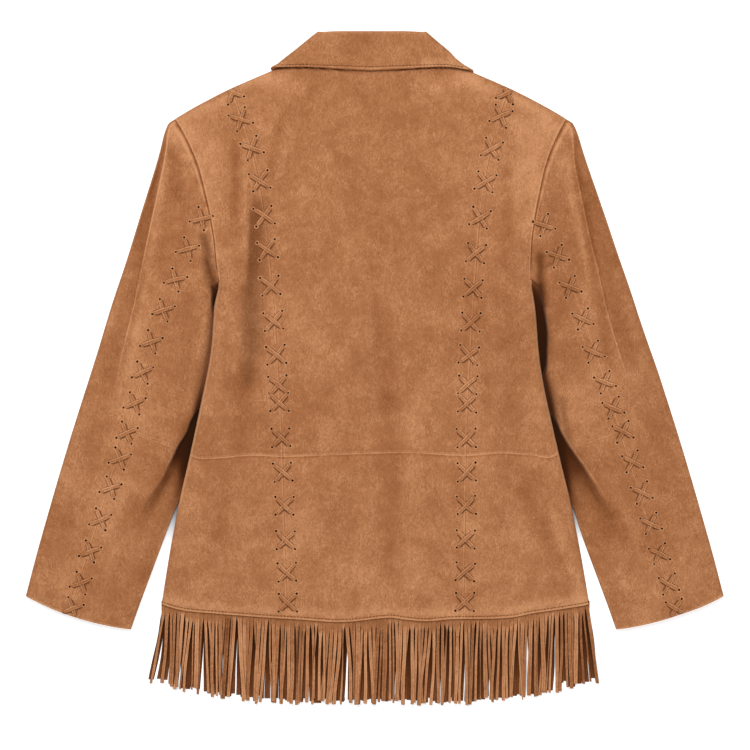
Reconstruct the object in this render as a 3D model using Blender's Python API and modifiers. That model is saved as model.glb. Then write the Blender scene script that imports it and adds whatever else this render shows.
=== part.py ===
"""Fringed suede jacket with laced seams, laid flat on a surface with its back up.

Every size is in millimetres and is turned into metres where a mesh is made. +X is to the right seen
from above, +Y runs from the hem to the collar and +Z is up. The jacket lies on z = 0, and the origin
is under the middle of its outline. "x" in a table or a helper is a distance from the centre line,
the same on both sides, and "side" is -1 for the wearer's left half and +1 for the right half.
"""
import math

import bmesh
import bpy
from mathutils import Vector
from mathutils.bvhtree import BVHTree

MM = 0.001

# ---------------------------------------------------------------- driving dimensions
SUEDE = 1.2                 # one layer of suede
COLLAR_CLOTH = 2.2          # collar: two layers sewn back to back
GAP = 0.3                   # between neighbouring pieces
BED = SUEDE / 2             # height of the middle of a layer that lies on the surface

NECK_HALF = 75.0            # neckline, centre to shoulder
NECK_Y = 364.5              # where the shoulder meets the neckline
BACK_NECK_Y = 353.0         # neckline at centre back
FRONT_NECK_Y = 338.0        # neckline at centre front
SHOULDER_HALF = 226.0       # centre to shoulder tip
SHOULDER_Y = 291.0
SHOULDER_CROWN = 4.2        # outward bow of the shoulder line, fullest past its middle
CROWN_SHIFT = 1.6
SHOULDER_SLANT = 0.895      # distance square to the shoulder, as a share of the drop below it
SEAM_TOP = 161.0            # where the laced seam meets the shoulder
ARMPIT_Y = 107.0
ARMPIT_EASE = 0.6           # extra room between body and sleeve in the corner of the armpit
WAIST_Y = -100.0            # seam across the back
HEM_Y = -291.0              # hem at the centre
HEM_HALF = 249.0
HEM_RISE = 18.0             # how much higher the hem is at the sides
HEM_POWER = 2.6

CUFF_INNER = (282.0, -302.0)
CUFF_OUTER = (404.3, -263.0)
CUFF_BOW = 6.0
LACED_AT_ARMHOLE = 0.443    # share of the armhole, and of the cuff, below or inside the laced seam
LACED_AT_CUFF = 0.572
ELBOW_DIP = 21.6            # how far the elbow seam drops from the laced seam's even spacing
ELBOW = 0.5                 # share of the sleeve's length above the elbow seam
ELBOW_GAP = 0.0004          # half a gap, as a share of the sleeve's length
SEAM_INSET = 0.0009         # half a gap, as a share of the sleeve's width
ARMHOLE_RUN = 0.1           # share of the sleeve's length that leads from the armhole's form

# Corners of the faceted armhole, as shares of its height from the armpit. Body and sleeve share them.
ARMHOLE_STEPS = (0.0, 0.12, 0.23, 0.34, LACED_AT_ARMHOLE, 0.56, 0.69, 0.82, 0.93, 0.985, 1.0)
UNDER_STEPS = (0.0, 0.12, 0.34, 0.56, 0.82, 1.0)        # the same for the layers underneath
FOREARM_SHARE = 0.12        # where the hidden seam of the sleeve's underside starts at the armhole
SLEEVE_STEPS = (0.0, 0.03, 0.08, 0.16, 0.25, 0.33, 0.42, ELBOW, 0.58, 0.67, 0.78, 0.89, 1.0)
HEM_STEPS = (0.0, 0.22, 0.45, 0.68)                     # corners of the faceted front hem
HEM_ENDS = (32.0, 13.0, 0.0)                            # and the last ones, from its outer end
NECK_STEPS = (0.0, 0.15, 0.265, 0.332, 0.56, 0.87, 1.0)  # corners of a front's neck and shoulder
NECK_RUN = 0.3              # share of a front's length over which they lead into the hem's
CENTRE_STEPS = (0.155, 0.31, 0.466, 0.66, 0.84, 1.0)    # columns of half the back's centre panel
SIDE_STEPS = (26.0, 9.0, 2.5, 0.0)                      # last columns of its side, from the edge

FRINGE_TIP_Y = -392.95
FRINGE_TIP_RISE = 27.0      # how much shorter the fringe reaches at the sides
FRINGE_SPREAD = 14.0        # how far its tips spread past the hem's ends

SIDE_ROLL = 9.0             # width of the rounding where the back turns down at a free edge
SIDE_REACH = 70.0           # width over which it rises to its full height
ROLL_SHARE = 0.62           # share of the height that the rounding takes
SEAMED = 60.0               # added to the distance from an edge along which the cloth carries on
COLLAR_WIDTH = 95.0         # half width of the back that the collar holds up

# The fronts lie over the sleeves beside the body and over the collar's front ends.
SLEEVE_LIFT = 4.0
LIFT_TOP = (100.0, 14.0)    # y where the lift starts, and the run over which it grows
LIFT_END = (-186.0, 20.0)
LIFT_REACH = (30.0, 16.0)   # its width in from the side, and its run
COLLAR_LIFT = 3.0
COLLAR_CORNER = (44.0, 296.0)
COLLAR_SLOPE = (0.68, 0.83)  # rise of the collar's front edge, and its cosine
COLLAR_REACH = (72.0, 30.0)

CROSS_ACROSS = 11.0         # half width and half height of a lacing cross, hole to hole
CROSS_ALONG = 10.5
THONG = 4.4                 # width of the lacing thong
THONG_THICK = 1.0
THONG_CLEAR = 0.5           # between a thong and the highest point of the panels under it
WELT = 2.4                  # width of the raised seam line between the crosses
EDGE_MARGIN = 5.0           # kept between the lacing and the shoulder line
CUFF_MARGIN = 3.0           # kept between the lacing and the cuff's edge

# ---------------------------------------------------------------- outline tables, (y, x)
LEAN = ((393, -3.4), (300, -3.4), (230, -1.8), (107, 0.0), (-100, 1.2), (-290, 2.4))
EDGE = ((291, 226), (271, 215), (239, 203), (203, 194), (173, 188), (142, 184), (107, 183),
        (73, 186), (20, 190), (-46, 203), (-101, 215), (-152, 227), (-213, 239), (-273, 249))
LACED_SEAM = ((327, 161), (256, 139), (177, 125), (95, 117.5), (17, 112), (-80, 107),
              (-198, 104.5), (-291, 102))
SLEEVE_OUTER = ((291, 226), (285, 233.5), (257, 244), (187, 267.5), (131, 285.5), (76, 304),
                (20, 321), (-91, 356), (-203, 388.5), (-263, 404.3))
SLEEVE_INNER = ((107, 184), (95, 186.5), (85, 187.6), (70, 187.8), (55, 187), (20, 185.5),
                (-46, 197), (-100, 211), (-152, 229), (-175, 236.6), (-217, 251), (-272, 271.4),
                (-302, 282))
SLEEVE_LACED = ((188.5, 191), (174, 197.5), (135, 215), (63, 243.5), (-10, 268.6), (-73, 287.7),
                (-140, 308.4), (-213, 330.6), (-285, 353.5))

SEAM_AT_HEM = LACED_SEAM[-1][1]

# ---------------------------------------------------------------- height tables, (y, z or width)
BACK_LOFT = ((366, 9.0), (345, 9.2), (290, 12.0), (200, 13.5), (0, 13.5), (-100, 13.0),
             (-200, 11.0), (-291, 8.2))
SLEEVE_LOFT = ((291, 12.0), (0, 12.0), (-100, 11.0), (-200, 10.0), (-302, 8.0))
RIDGE_WIDTH = ((291, 8), (226, 15), (173, 26), (101, 39), (35, 48), (-18, 53), (-302, 46))
SHELF = ((107, 2.6), (-60, 2.6), (-100, 3.4), (-139, 5.5), (-160, 7.0), (-200, 9.5), (-302, 7.6))
STEP = ((107, 170), (90, 183), (75, 190), (60, 193), (20, 195.5), (-20, 200), (-46, 206),
        (-70, 217), (-97, 230), (-115, 240), (-139, 255), (-152, 266), (-200, 285))
STEP_WIDTH = 12.0
SHELF_PLACE = 11.0          # width of the level shelf by the sleeve's inner fold
FOLD_LEAD = 4.0             # width of the slope that leads into the sleeve's outer fold
INNER_FOLD = ((107, 4.2), (90, 1.6), (70, 0.9), (-140, 0.9), (-175, 1.8), (-217, 2.4), (-302, 2.6))
OUTER_FOLD = ((291, 2.2), (257, 3.0), (-263, 3.0))

# Broad folds of the back: ends (x0, y0) and (x1, y1), half width and height, signed x.
FOLDS = (
    (2, 101, 10, 8, 15, -3.6),          # centre trough, down to the waist
    (10, 8, 19, -83, 15, -3.6),
    (16, -150, 16, -291, 20, -2.8),     # its run below the waist
    (-62, -140, -52, -291, 26, 2.0),    # swells beside it at the hem
    (66, -140, 62, -291, 26, 2.0),
    (-160, 268, -142, 190, 15, -2.6),   # along the laced seam, wearer's left
    (-142, 190, -140, 34, 13, -3.4),
    (128, 175, 132, 60, 16, -2.6),      # along the laced seam, wearer's right
    (176, 262, 190, 228, 13, -2.0),     # towards the right armhole
)

# Collar, from centre back round to the front end: turn is 90 on the back and -90 on the front.
# Columns: turn, neck x, neck y, roll x, roll y, edge x, edge y.
COLLAR = (
    (90, 0, 353.0, 0, 389.9, 0, 347.4),
    (90, 25, 354.3, 21.5, 389.9, 40, 349.3),
    (90, 50, 358.2, 42.5, 389.9, 80, 351.2),
    (90, 75, 364.5, 60, 389.2, 112, 351.0),
    (45, 79, 367.6, 63, 388.2, 117.6, 350.8),
    (0, 80.5, 367.6, 64, 387.5, 119.8, 349.8),
    (-45, 79, 366.6, 63, 387.0, 117.6, 348.2),
    (-90, 75, 364.5, 61, 386.0, 114, 346.8),
    (-90, 60, 355.0, 49, 379.0, 97, 330.0),
    (-90, 34, 343.5, 28, 366.0, 72, 311.0),
    (-90, 1, 338.0, 1, 352.0, 44, 296.0),
)
STAND_MID = 6.6             # height of the middle of the flattened collar stand, and half its spread
STAND_SPREAD = 2.4
FALL_MID = 6.55
FALL_SPREAD = 5.45
ROLL_RADIUS = 1.5

# Lacing runs on the back, from one y to another, with their number of crosses.
BACK_LACING = ((319, -18, 10), (-39, -270, 7))
SLEEVE_CROSSES = 14
SLEEVE_LACING = (0.035, 0.985)      # shares of the sleeve's length at the first and last cross
UPPER_ARMS = ((1, -1), (-1, -1))    # the four arms of a cross, across and along the seam
LOWER_ARMS = ((1, 1), (-1, 1))


# ---------------------------------------------------------------- helpers
def mix(a, b, t):
    return a + (b - a) * t


def smooth(t):
    """0 up to t = 0 and 1 from t = 1, with a soft start and end."""
    t = min(max(t, 0.0), 1.0)
    return t * t * (3.0 - 2.0 * t)


def bulge(t):
    """Quarter circle: upright at t = 0, level from t = 1."""
    t = min(max(t, 0.0), 1.0)
    return math.sqrt(1.0 - (1.0 - t) ** 2)


def read(table, place):
    """A table's second column at a place in its first, on a smooth curve through the rows."""
    rows = sorted(table)
    if place <= rows[0][0]:
        return rows[0][1]
    if place >= rows[-1][0]:
        return rows[-1][1]
    last = next(i for i, row in enumerate(rows) if row[0] > place)

    def slope(i):
        before = rows[max(i - 1, 0)]
        after = rows[min(i + 1, len(rows) - 1)]
        return (after[1] - before[1]) / (after[0] - before[0])

    start, end = rows[last - 1], rows[last]
    span = end[0] - start[0]
    t = (place - start[0]) / span
    rise = (2 * t ** 3 - 3 * t ** 2 + 1) * start[1] + (3 * t ** 2 - 2 * t ** 3) * end[1]
    lead = (t ** 3 - 2 * t ** 2 + t) * slope(last - 1) + (t ** 3 - t ** 2) * slope(last)
    return rise + lead * span


def shares(length, parts, *ends):
    """Shares of a length: even parts up to the first end distance, then the end distances."""
    start = 1.0 - ends[0] / length
    return [start * i / parts for i in range(parts + 1)] + [1.0 - e / length for e in ends[1:]]


# ---------------------------------------------------------------- outlines
def top_y(x, neck_y):
    """Upper edge of a body panel: the neckline, then the shoulder."""
    if x < NECK_HALF:
        return mix(neck_y, NECK_Y, (x / NECK_HALF) ** 2)
    t = min((x - NECK_HALF) / (SHOULDER_HALF - NECK_HALF), 1.0)
    return mix(NECK_Y, SHOULDER_Y, t) + SHOULDER_CROWN * math.sin(math.pi * t ** CROWN_SHIFT)


def hem_y(x):
    return HEM_Y + HEM_RISE * (abs(x) / HEM_HALF) ** HEM_POWER


def body_point(side, x, y, z):
    return Vector((read(LEAN, y) + side * x, y, z))


def armhole(share):
    """Point of the sleeve's armhole edge, from the armpit at 0 to the shoulder tip at 1."""
    y = mix(ARMPIT_Y, SHOULDER_Y, share)
    return Vector((read(EDGE, y) + GAP / 2 + ARMPIT_EASE * (1.0 - share) ** 4, y))


def rows_down_to(bottom, armhole_steps, below):
    """Shares of a side edge's height: the armhole's corners from the top, then even steps."""
    height = SHOULDER_Y - bottom
    found = [(1.0 - step) * (SHOULDER_Y - ARMPIT_Y) / height for step in reversed(armhole_steps)]
    return found + [mix(found[-1], 1.0, i / below) for i in range(1, below + 1)]


def cuff(share):
    """Point of the cuff's edge, from the inner side at 0 to the outer side at 1."""
    inner, outer = Vector(CUFF_INNER), Vector(CUFF_OUTER)
    across = (outer - inner).normalized()
    down = Vector((across.y, -across.x))
    return inner.lerp(outer, share) + down * CUFF_BOW * 4.0 * share * (1.0 - share)


def sleeve_line(table, v, dip=0.0):
    """Point of a lengthwise sleeve line at a share v of its length."""
    y = mix(table[0][0], table[-1][0], v) - dip * math.sin(math.pi * v)
    return Vector((read(table, y), y))


def sleeve_share(s, laced):
    """Share of the armhole or cuff at s, where s is 0.5 on the laced seam."""
    if s < 0.5:
        return 2.0 * s * laced
    return mix(laced, 1.0, 2.0 * s - 1.0)


def place_on_sleeve(share):
    """The s that meets the armhole at a share of its height."""
    if share < LACED_AT_ARMHOLE:
        return share / LACED_AT_ARMHOLE / 2.0
    return 0.5 + (share - LACED_AT_ARMHOLE) / (1.0 - LACED_AT_ARMHOLE) / 2.0


def sleeve_point(s, v):
    """Plan of the sleeve: s runs from its inner edge (0) over the laced seam (0.5) to the outer (1)."""
    laced_in, laced_out = (SLEEVE_INNER, SLEEVE_LACED) if s < 0.5 else (SLEEVE_LACED, SLEEVE_OUTER)
    u = 2.0 * s if s < 0.5 else 2.0 * s - 1.0

    def ruled(at):
        near = sleeve_line(laced_in, at, ELBOW_DIP if laced_in is SLEEVE_LACED else 0.0)
        far = sleeve_line(laced_out, at, ELBOW_DIP if laced_out is SLEEVE_LACED else 0.0)
        return near.lerp(far, u)

    top = armhole(sleeve_share(s, LACED_AT_ARMHOLE)) - ruled(0.0)
    end = cuff(sleeve_share(s, LACED_AT_CUFF)) - ruled(1.0)
    return ruled(v) + top * (1.0 - v) + end * v


# ---------------------------------------------------------------- heights
def front_height(x, y):
    """Middle of the front panels: on the surface, lifted over the sleeves and the collar's ends."""
    start, start_run = LIFT_TOP
    end, end_run = LIFT_END
    reach, reach_run = LIFT_REACH
    beside_sleeve = smooth((start - y) / start_run) * smooth((y - end) / end_run)
    inside = read(EDGE, y) - x
    over_sleeve = SLEEVE_LIFT * beside_sleeve * smooth((reach - inside) / reach_run)
    corner_x, corner_y = COLLAR_CORNER
    rise, cosine = COLLAR_SLOPE
    reach, reach_run = COLLAR_REACH
    past_collar = cosine * (y - corner_y - rise * (x - corner_x))
    over_collar = COLLAR_LIFT * smooth((past_collar + reach) / reach_run)
    return BED + max(over_sleeve, over_collar)


def fold_height(x, y):
    """Sum of the back's broad folds, each a soft trough or swell along a short line."""
    total = 0.0
    for x0, y0, x1, y1, width, height in FOLDS:
        run = Vector((x1 - x0, y1 - y0))
        offset = Vector((x - x0, y - y0))
        t = offset.dot(run) / run.length_squared
        off_line = (offset - run * min(max(t, 0.0), 1.0)).length
        total += height * smooth(1.0 - off_line / (2.0 * width))
    return total


def back_height(x, y, side=0):
    """Middle of the back panels: rounded down at the free edges, lofted between them."""
    beside = read(EDGE, y) - x + SEAMED * smooth((y - ARMPIT_Y + 12.0) / 40.0)
    below = (top_y(max(x, NECK_HALF), NECK_Y) - y) * SHOULDER_SLANT
    below += SEAMED * smooth((COLLAR_WIDTH - x) / 30.0)
    free = min(beside, below)
    rise = ROLL_SHARE * bulge(free / SIDE_ROLL) + (1.0 - ROLL_SHARE) * smooth(free / SIDE_REACH)
    low = front_height(x, y) + BED + GAP
    swell = side * side * fold_height(side * x, y) * smooth(free / SIDE_REACH)
    return mix(low, read(BACK_LOFT, y), rise) + swell


def sleeve_height(s, v):
    """Middle of the sleeve's upper layer: a ridge, a level middle and a low shelf by the body."""
    point = sleeve_point(s, v)
    edge = BED + 2.0 * read(OUTER_FOLD, point.y)
    from_outer = (sleeve_point(1.0, v) - point).length
    slope = min(from_outer / read(RIDGE_WIDTH, point.y), 1.0)
    height = mix(edge, read(SLEEVE_LOFT, point.y), slope ** 0.8)
    shelf = read(SHELF, point.y)
    height = mix(shelf, height, smooth((point.x - read(STEP, point.y)) / STEP_WIDTH))
    seam = armhole(sleeve_share(s, LACED_AT_ARMHOLE))
    return mix(back_height(seam.x, seam.y), height, smooth(v / ARMHOLE_RUN))


# ---------------------------------------------------------------- making meshes
def material(name, color, roughness):
    made = bpy.data.materials.new(name)
    made.use_nodes = True
    shader = made.node_tree.nodes["Principled BSDF"]
    shader.inputs["Base Color"].default_value = (*color, 1.0)
    shader.inputs["Roughness"].default_value = roughness
    shader.inputs["Metallic"].default_value = 0.0
    return made


def add_object(name, mesh, thickness, finish, collection):
    """An open surface becomes a wall, half of its thickness on each side."""
    mesh.materials.append(finish)
    made = bpy.data.objects.new(name, mesh)
    collection.objects.link(made)
    wall = made.modifiers.new("Wall", "SOLIDIFY")
    wall.thickness = thickness * MM
    wall.offset = 0.0
    wall.use_even_offset = True
    wall.use_quality_normals = True
    return made


def cloth(name, rows, thickness, finish, collection):
    """A panel: a flat grid with its points moved to the given rows of points."""
    across, along = len(rows[0]) - 1, len(rows) - 1
    grid = bmesh.new()
    bmesh.ops.create_grid(grid, x_segments=across, y_segments=along, size=0.5)
    for vert in grid.verts:
        column = round((vert.co.x + 0.5) * across)
        row = round((vert.co.y + 0.5) * along)
        vert.co = Vector(rows[row][column]) * MM
    mesh = bpy.data.meshes.new(name)
    grid.to_mesh(mesh)
    grid.free()
    return add_object(name, mesh, thickness, finish, collection)


# ---------------------------------------------------------------- body panels
def inset(share, length):
    """A share of a length, kept half a gap away from both of its ends."""
    half = GAP / 2 / length
    return mix(half, 1.0 - half, share)


def end_gap(share):
    """Half a gap at either end of a panel's length and none between."""
    if share < 0.0001:
        return -GAP / 2
    return GAP / 2 if share > 0.9999 else 0.0


def back_centre(name, top, bottom, top_steps, finish, collection):
    """A centre back panel between the two laced seams, from one seam level to the next."""
    columns = [-share for share in reversed(CENTRE_STEPS)] + [0.0, *CENTRE_STEPS]
    rows = []
    for v in top_steps:
        row = []
        for column in columns:
            share = column * (1.0 - GAP / 2 / SEAM_TOP)
            start = top_y(abs(share) * SEAM_TOP, BACK_NECK_Y) if top is None else top
            end = hem_y(share * SEAM_AT_HEM) if bottom is None else bottom
            y = mix(start, end, inset(v, abs(start - end)))
            level = mix(LACED_SEAM[0][0] if top is None else start, end, v)
            x = share * read(LACED_SEAM, level)
            side = math.copysign(1.0, x)
            row.append(body_point(side, abs(x), y, back_height(abs(x), y, side)))
        rows.append(row)
    return cloth(name, rows, SUEDE, finish, collection)


def back_side(name, side, top, bottom, top_steps, finish, collection):
    """A side back panel between a laced seam and the armhole or side edge."""
    seam_end, edge_end = hem_y(SEAM_AT_HEM), hem_y(HEM_HALF)
    rows = []
    for v in top_steps:
        seam_y = mix(LACED_SEAM[0][0], bottom, v) if top is None else mix(top, seam_end, v)
        edge_y = mix(SHOULDER_Y, bottom, v) if top is None else mix(top, edge_end, v)
        seam_x = read(LACED_SEAM, seam_y) + GAP / 2
        edge_x = read(EDGE, edge_y) - (GAP / 2 if edge_y > ARMPIT_Y else SUEDE / 2)
        row = []
        for u in shares(edge_x - seam_x, 2, *SIDE_STEPS):
            x = mix(seam_x, edge_x, u)
            y = mix(seam_y, edge_y, u)
            if top is None:
                straight = mix(LACED_SEAM[0][0], SHOULDER_Y, u)
                y += (top_y(mix(SEAM_TOP, SHOULDER_HALF, u), NECK_Y) - straight) * (1.0 - v) ** 3
            else:
                y += (hem_y(x) - mix(seam_end, edge_end, u)) * v
            y += end_gap(v)
            row.append(body_point(side, x, y, back_height(x, y, side)))
        rows.append(row)
    return cloth(name, rows, SUEDE, finish, collection)


def front_panel(name, side, finish, collection):
    """A plain front from the centre front edge to the armhole and side, under the back."""
    side_bottom = hem_y(HEM_HALF)
    rows = []
    for v in rows_down_to(side_bottom, UNDER_STEPS, 10):
        edge_y = mix(SHOULDER_Y, side_bottom, v)
        edge_x = read(EDGE, edge_y) - (GAP / 2 if edge_y > ARMPIT_Y - 1.0 else 0.0)
        lower = [*HEM_STEPS, *(1.0 - end / edge_x for end in HEM_ENDS)]
        row = []
        for upper_u, lower_u in zip(NECK_STEPS, lower):
            u = mix(upper_u, lower_u, smooth(v / NECK_RUN))
            x = max(u * edge_x, GAP / 2)
            upper = top_y(upper_u * SHOULDER_HALF, FRONT_NECK_Y)
            y = mix(upper, mix(FRONT_NECK_Y, SHOULDER_Y, u), smooth(v / NECK_RUN))
            y = mix(y, mix(HEM_Y, side_bottom, u), v)
            y += (hem_y(u * HEM_HALF) - mix(HEM_Y, side_bottom, u)) * v
            row.append(body_point(side, x, y, front_height(x, y)))
        rows.append(row)
    return cloth(name, rows, SUEDE, finish, collection)


# ---------------------------------------------------------------- sleeves
def fold_points(edge, inward, radius, steps=3):
    """Half circle round a sleeve's folded edge, from the upper layer down to the lower one."""
    centre = edge + inward * (radius + SUEDE / 2)
    points = []
    for i in range(steps + 1):
        turn = math.pi * (0.5 - i / steps)
        plan = centre - inward * radius * math.cos(turn)
        points.append((plan, BED + radius * (1.0 + math.sin(turn))))
    return points


def sleeve_section(v, upper, edge_s, lower, radius):
    """A sleeve panel's section: over the upper layer, round a folded edge, along the lower layer."""
    edge = sleeve_point(edge_s, v)
    inward = (sleeve_point(mix(edge_s, 0.5, 0.2), v) - edge).normalized()
    section = [(sleeve_point(s, v), sleeve_height(s, v)) for s in upper]
    section += fold_points(edge, inward, radius)
    section += [(sleeve_point(s, v), BED) for s in lower]
    return section


def sleeve_row(side, section):
    row = []
    for plan, z in section:
        row.append((min(read(LEAN, plan.y), 0.0) + side * plan.x, plan.y, z))
    return row


def sleeve_columns(regular, shares_at_armhole, v, sign):
    """Places s across a panel, led from the armhole's corners to the regular ones."""
    found = []
    for s, share in zip(regular, shares_at_armhole):
        found.append(mix(place_on_sleeve(share), s, smooth(v / ARMHOLE_RUN)))
    found[0] += sign * SEAM_INSET
    return found


def top_sleeve(name, side, finish, collection):
    """The outer sleeve panel: laced seam, ridge, outer fold, underside, forearm seam."""
    lower = [place_on_sleeve(share) for share in UNDER_STEPS[-2:0:-1]]
    lower[-1] += SEAM_INSET
    rows = []
    for v in SLEEVE_STEPS:
        y = sleeve_point(1.0, v).y
        width = 2.0 * (sleeve_point(1.0, v) - sleeve_point(0.5, v)).length
        ridge = 1.0 - read(RIDGE_WIDTH, y) / width
        radius = read(OUTER_FOLD, y)
        last = 1.0 - (radius + FOLD_LEAD) / width
        regular = (0.5, mix(0.5, ridge, 0.5), ridge, mix(ridge, last, 0.5), last)
        upper = sleeve_columns(regular, ARMHOLE_STEPS[4:9], v, 1)
        rows.append(sleeve_row(side, sleeve_section(v, upper, 1.0, lower, radius)))
    return cloth(name, rows, SUEDE, finish, collection)


def under_sleeve(name, side, steps, finish, collection):
    """An inner sleeve panel: laced seam, shelf by the body, inner fold, forearm seam."""
    rows = []
    for v in steps:
        inner = sleeve_point(0.0, v)
        width = 2.0 * (sleeve_point(0.5, v) - inner).length
        shelf = SHELF_PLACE / width
        regular = [mix(0.5, shelf, i / 4) for i in range(5)]
        upper = sleeve_columns(regular, (*ARMHOLE_STEPS[4:0:-1], 0.04), v, -1)
        lower = [place_on_sleeve(FOREARM_SHARE) - SEAM_INSET]
        radius = read(INNER_FOLD, inner.y)
        rows.append(sleeve_row(side, sleeve_section(v, upper, 0.0, lower, radius)))
    return cloth(name, rows, SUEDE, finish, collection)


# ---------------------------------------------------------------- collar
def collar_section(side, turn, neck, roll, edge):
    """Stand, roll and fall of the collar at one place round the neck."""
    angle = math.radians(turn)
    slant = (Vector(roll) - Vector(edge)).normalized()
    away = Vector((abs(slant.y) * math.cos(angle), abs(slant.x) * math.cos(angle), math.sin(angle)))
    stand_z = STAND_MID + STAND_SPREAD * math.sin(angle)
    fall_z = FALL_MID + FALL_SPREAD * math.sin(angle)
    low = Vector((*neck, stand_z))
    inner = Vector((*roll, stand_z))
    up = (inner - low).normalized()
    gap = abs(fall_z - stand_z) * abs(math.sin(angle)) + 2 * ROLL_RADIUS * math.cos(angle)
    outer = inner + away * gap
    crown = inner.lerp(outer, 0.5) + up * ROLL_RADIUS
    hem = Vector((*edge, fall_z))
    points = [low, low.lerp(inner, 0.5), inner, crown, outer]
    points += [outer.lerp(hem, t) for t in (0.33, 0.67, 1.0)]
    return [body_point(side, p.x, p.y, p.z) for p in points]


def collar(name, finish, collection):
    rows = []
    for side, stations in ((-1, COLLAR[::-1]), (1, COLLAR[1:])):
        for turn, neck_x, neck_y, roll_x, roll_y, edge_x, edge_y in stations:
            neck = (neck_x, neck_y + GAP)
            rows.append(collar_section(side, turn, neck, (roll_x, roll_y), (edge_x, edge_y)))
    return cloth(name, rows, COLLAR_CLOTH, finish, collection)


# ---------------------------------------------------------------- fringe
def fringe(name, shares_across, heights, finish, collection):
    """The plain solid of a fringe's reach, from the hem to its tips."""
    rows = []
    for t in heights:
        row = []
        for share in shares_across:
            x = share * HEM_HALF
            top = hem_y(x) - GAP
            tip = FRINGE_TIP_Y + FRINGE_TIP_RISE * abs(share) ** 3
            y = mix(top, tip, t)
            z = heights[t](abs(x), top)
            row.append((mix(read(LEAN, y), 0.0, t) + x + share * FRINGE_SPREAD * t, y, z))
        rows.append(row)
    return cloth(name, rows, SUEDE, finish, collection)


def hang(drop):
    """Height of the back fringe at a drop from the hem's height (0) to the front fringe (1)."""
    rest = BED + SUEDE + GAP
    return lambda x, y: mix(max(back_height(x, y), rest), rest, drop)


def lie(x, y):
    return BED


# ---------------------------------------------------------------- lacing
def panels_below(panels):
    """A function for the highest point of the panels within a thong's width of a place."""
    depsgraph = bpy.context.evaluated_depsgraph_get()
    trees = [BVHTree.FromObject(panel, depsgraph) for panel in panels]

    def height(x, y):
        found = []
        for dx, dy in ((0, 0), (THONG, 0), (-THONG, 0), (0, THONG), (0, -THONG)):
            start = Vector((x + dx, y + dy, 100.0)) * MM
            hits = [tree.ray_cast(start, Vector((0, 0, -1)))[0] for tree in trees]
            found += [hit.z / MM for hit in hits if hit is not None]
        return max(found)

    return height


def add_face(surface, points, shared):
    """A face through plan points; a point that is already there is used again."""
    verts = []
    for point in points:
        key = (round(point[0], 2), round(point[1], 2))
        if key not in shared:
            shared[key] = surface.verts.new((*point, 0.0))
        verts.append(shared[key])
    surface.faces.new(verts)


def lacing(name, crosses, height, finish, collection, keep):
    """A chain of crosses along a seam. A cross is (centre, direction along the seam)."""
    surface = bmesh.new()
    shared = {}
    reach = math.hypot(CROSS_ACROSS, CROSS_ALONG)
    waist = THONG / 2 * reach / CROSS_ALONG
    neck = THONG / 2 * reach / CROSS_ACROSS
    half = WELT / 2
    ends = []
    for centre, along in crosses:
        across = Vector((along.y, -along.x))

        def place(a, b):
            return tuple(keep(centre + across * a + along * b))

        hub = [(waist, 0), (half, neck), (-half, neck), (-waist, 0), (-half, -neck), (half, -neck)]
        add_face(surface, [place(*corner) for corner in hub], shared)
        foot = centre + along * CROSS_ALONG
        arms = UPPER_ARMS + LOWER_ARMS if keep(foot) == foot else UPPER_ARMS
        for sx, sy in arms:
            tip = Vector((sx * CROSS_ACROSS, sy * CROSS_ALONG))
            cut = Vector((-tip.y, tip.x)).normalized() * THONG / 2
            corners = [(sx * waist, 0), (sx * half, sy * neck), tuple(tip + cut), tuple(tip - cut)]
            if (tip + cut - Vector(corners[1])).length > (tip - cut - Vector(corners[1])).length:
                corners[2], corners[3] = corners[3], corners[2]
            add_face(surface, [place(*corner) for corner in corners], shared)
        ends.append((place(-half, -neck), place(half, -neck), place(half, neck),
                     place(-half, neck)))
    for upper, lower in zip(ends, ends[1:]):
        left, right = Vector(upper[3]), Vector(upper[2])
        far_left, far_right = Vector(lower[0]), Vector(lower[1])
        middle = (tuple(left.lerp(far_left, 0.5)), tuple(right.lerp(far_right, 0.5)))
        add_face(surface, [upper[3], upper[2], middle[1], middle[0]], shared)
        add_face(surface, [middle[0], middle[1], lower[1], lower[0]], shared)
    for vert in surface.verts:
        vert.co.z = height(vert.co.x, vert.co.y) + THONG_CLEAR + THONG_THICK / 2
        vert.co *= MM
    bmesh.ops.recalc_face_normals(surface, faces=surface.faces)
    mesh = bpy.data.meshes.new(name)
    surface.to_mesh(mesh)
    surface.free()
    return add_object(name, mesh, THONG_THICK, finish, collection)


def back_crosses(side):
    """Crosses down a laced back seam: its two runs, in order."""
    found = []
    for start, end, count in BACK_LACING:
        for i in range(count):
            y = mix(start, end, i / (count - 1))
            here = body_point(side, read(LACED_SEAM, y), y, 0.0).to_2d()
            below = body_point(side, read(LACED_SEAM, y - 2.0), y - 2.0, 0.0).to_2d()
            found.append((here, (below - here).normalized()))
    return found


def sleeve_crosses(side):
    """Crosses down a sleeve's laced seam, evenly spaced."""
    found = []
    for i in range(SLEEVE_CROSSES):
        v = mix(*SLEEVE_LACING, i / (SLEEVE_CROSSES - 1))
        pair = [sleeve_point(0.5, v), sleeve_point(0.5, v - 0.005)]
        here, above = [Vector(sleeve_row(side, [(p, 0.0)])[0]).to_2d() for p in pair]
        found.append((here, (here - above).normalized()))
    return found


def under_shoulder(point):
    """A back lacing point, kept inside the shoulder line."""
    x = abs(point.x - read(LEAN, point.y))
    limit = top_y(x, NECK_Y) - EDGE_MARGIN
    return Vector((point.x, min(point.y, limit)))


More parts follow.
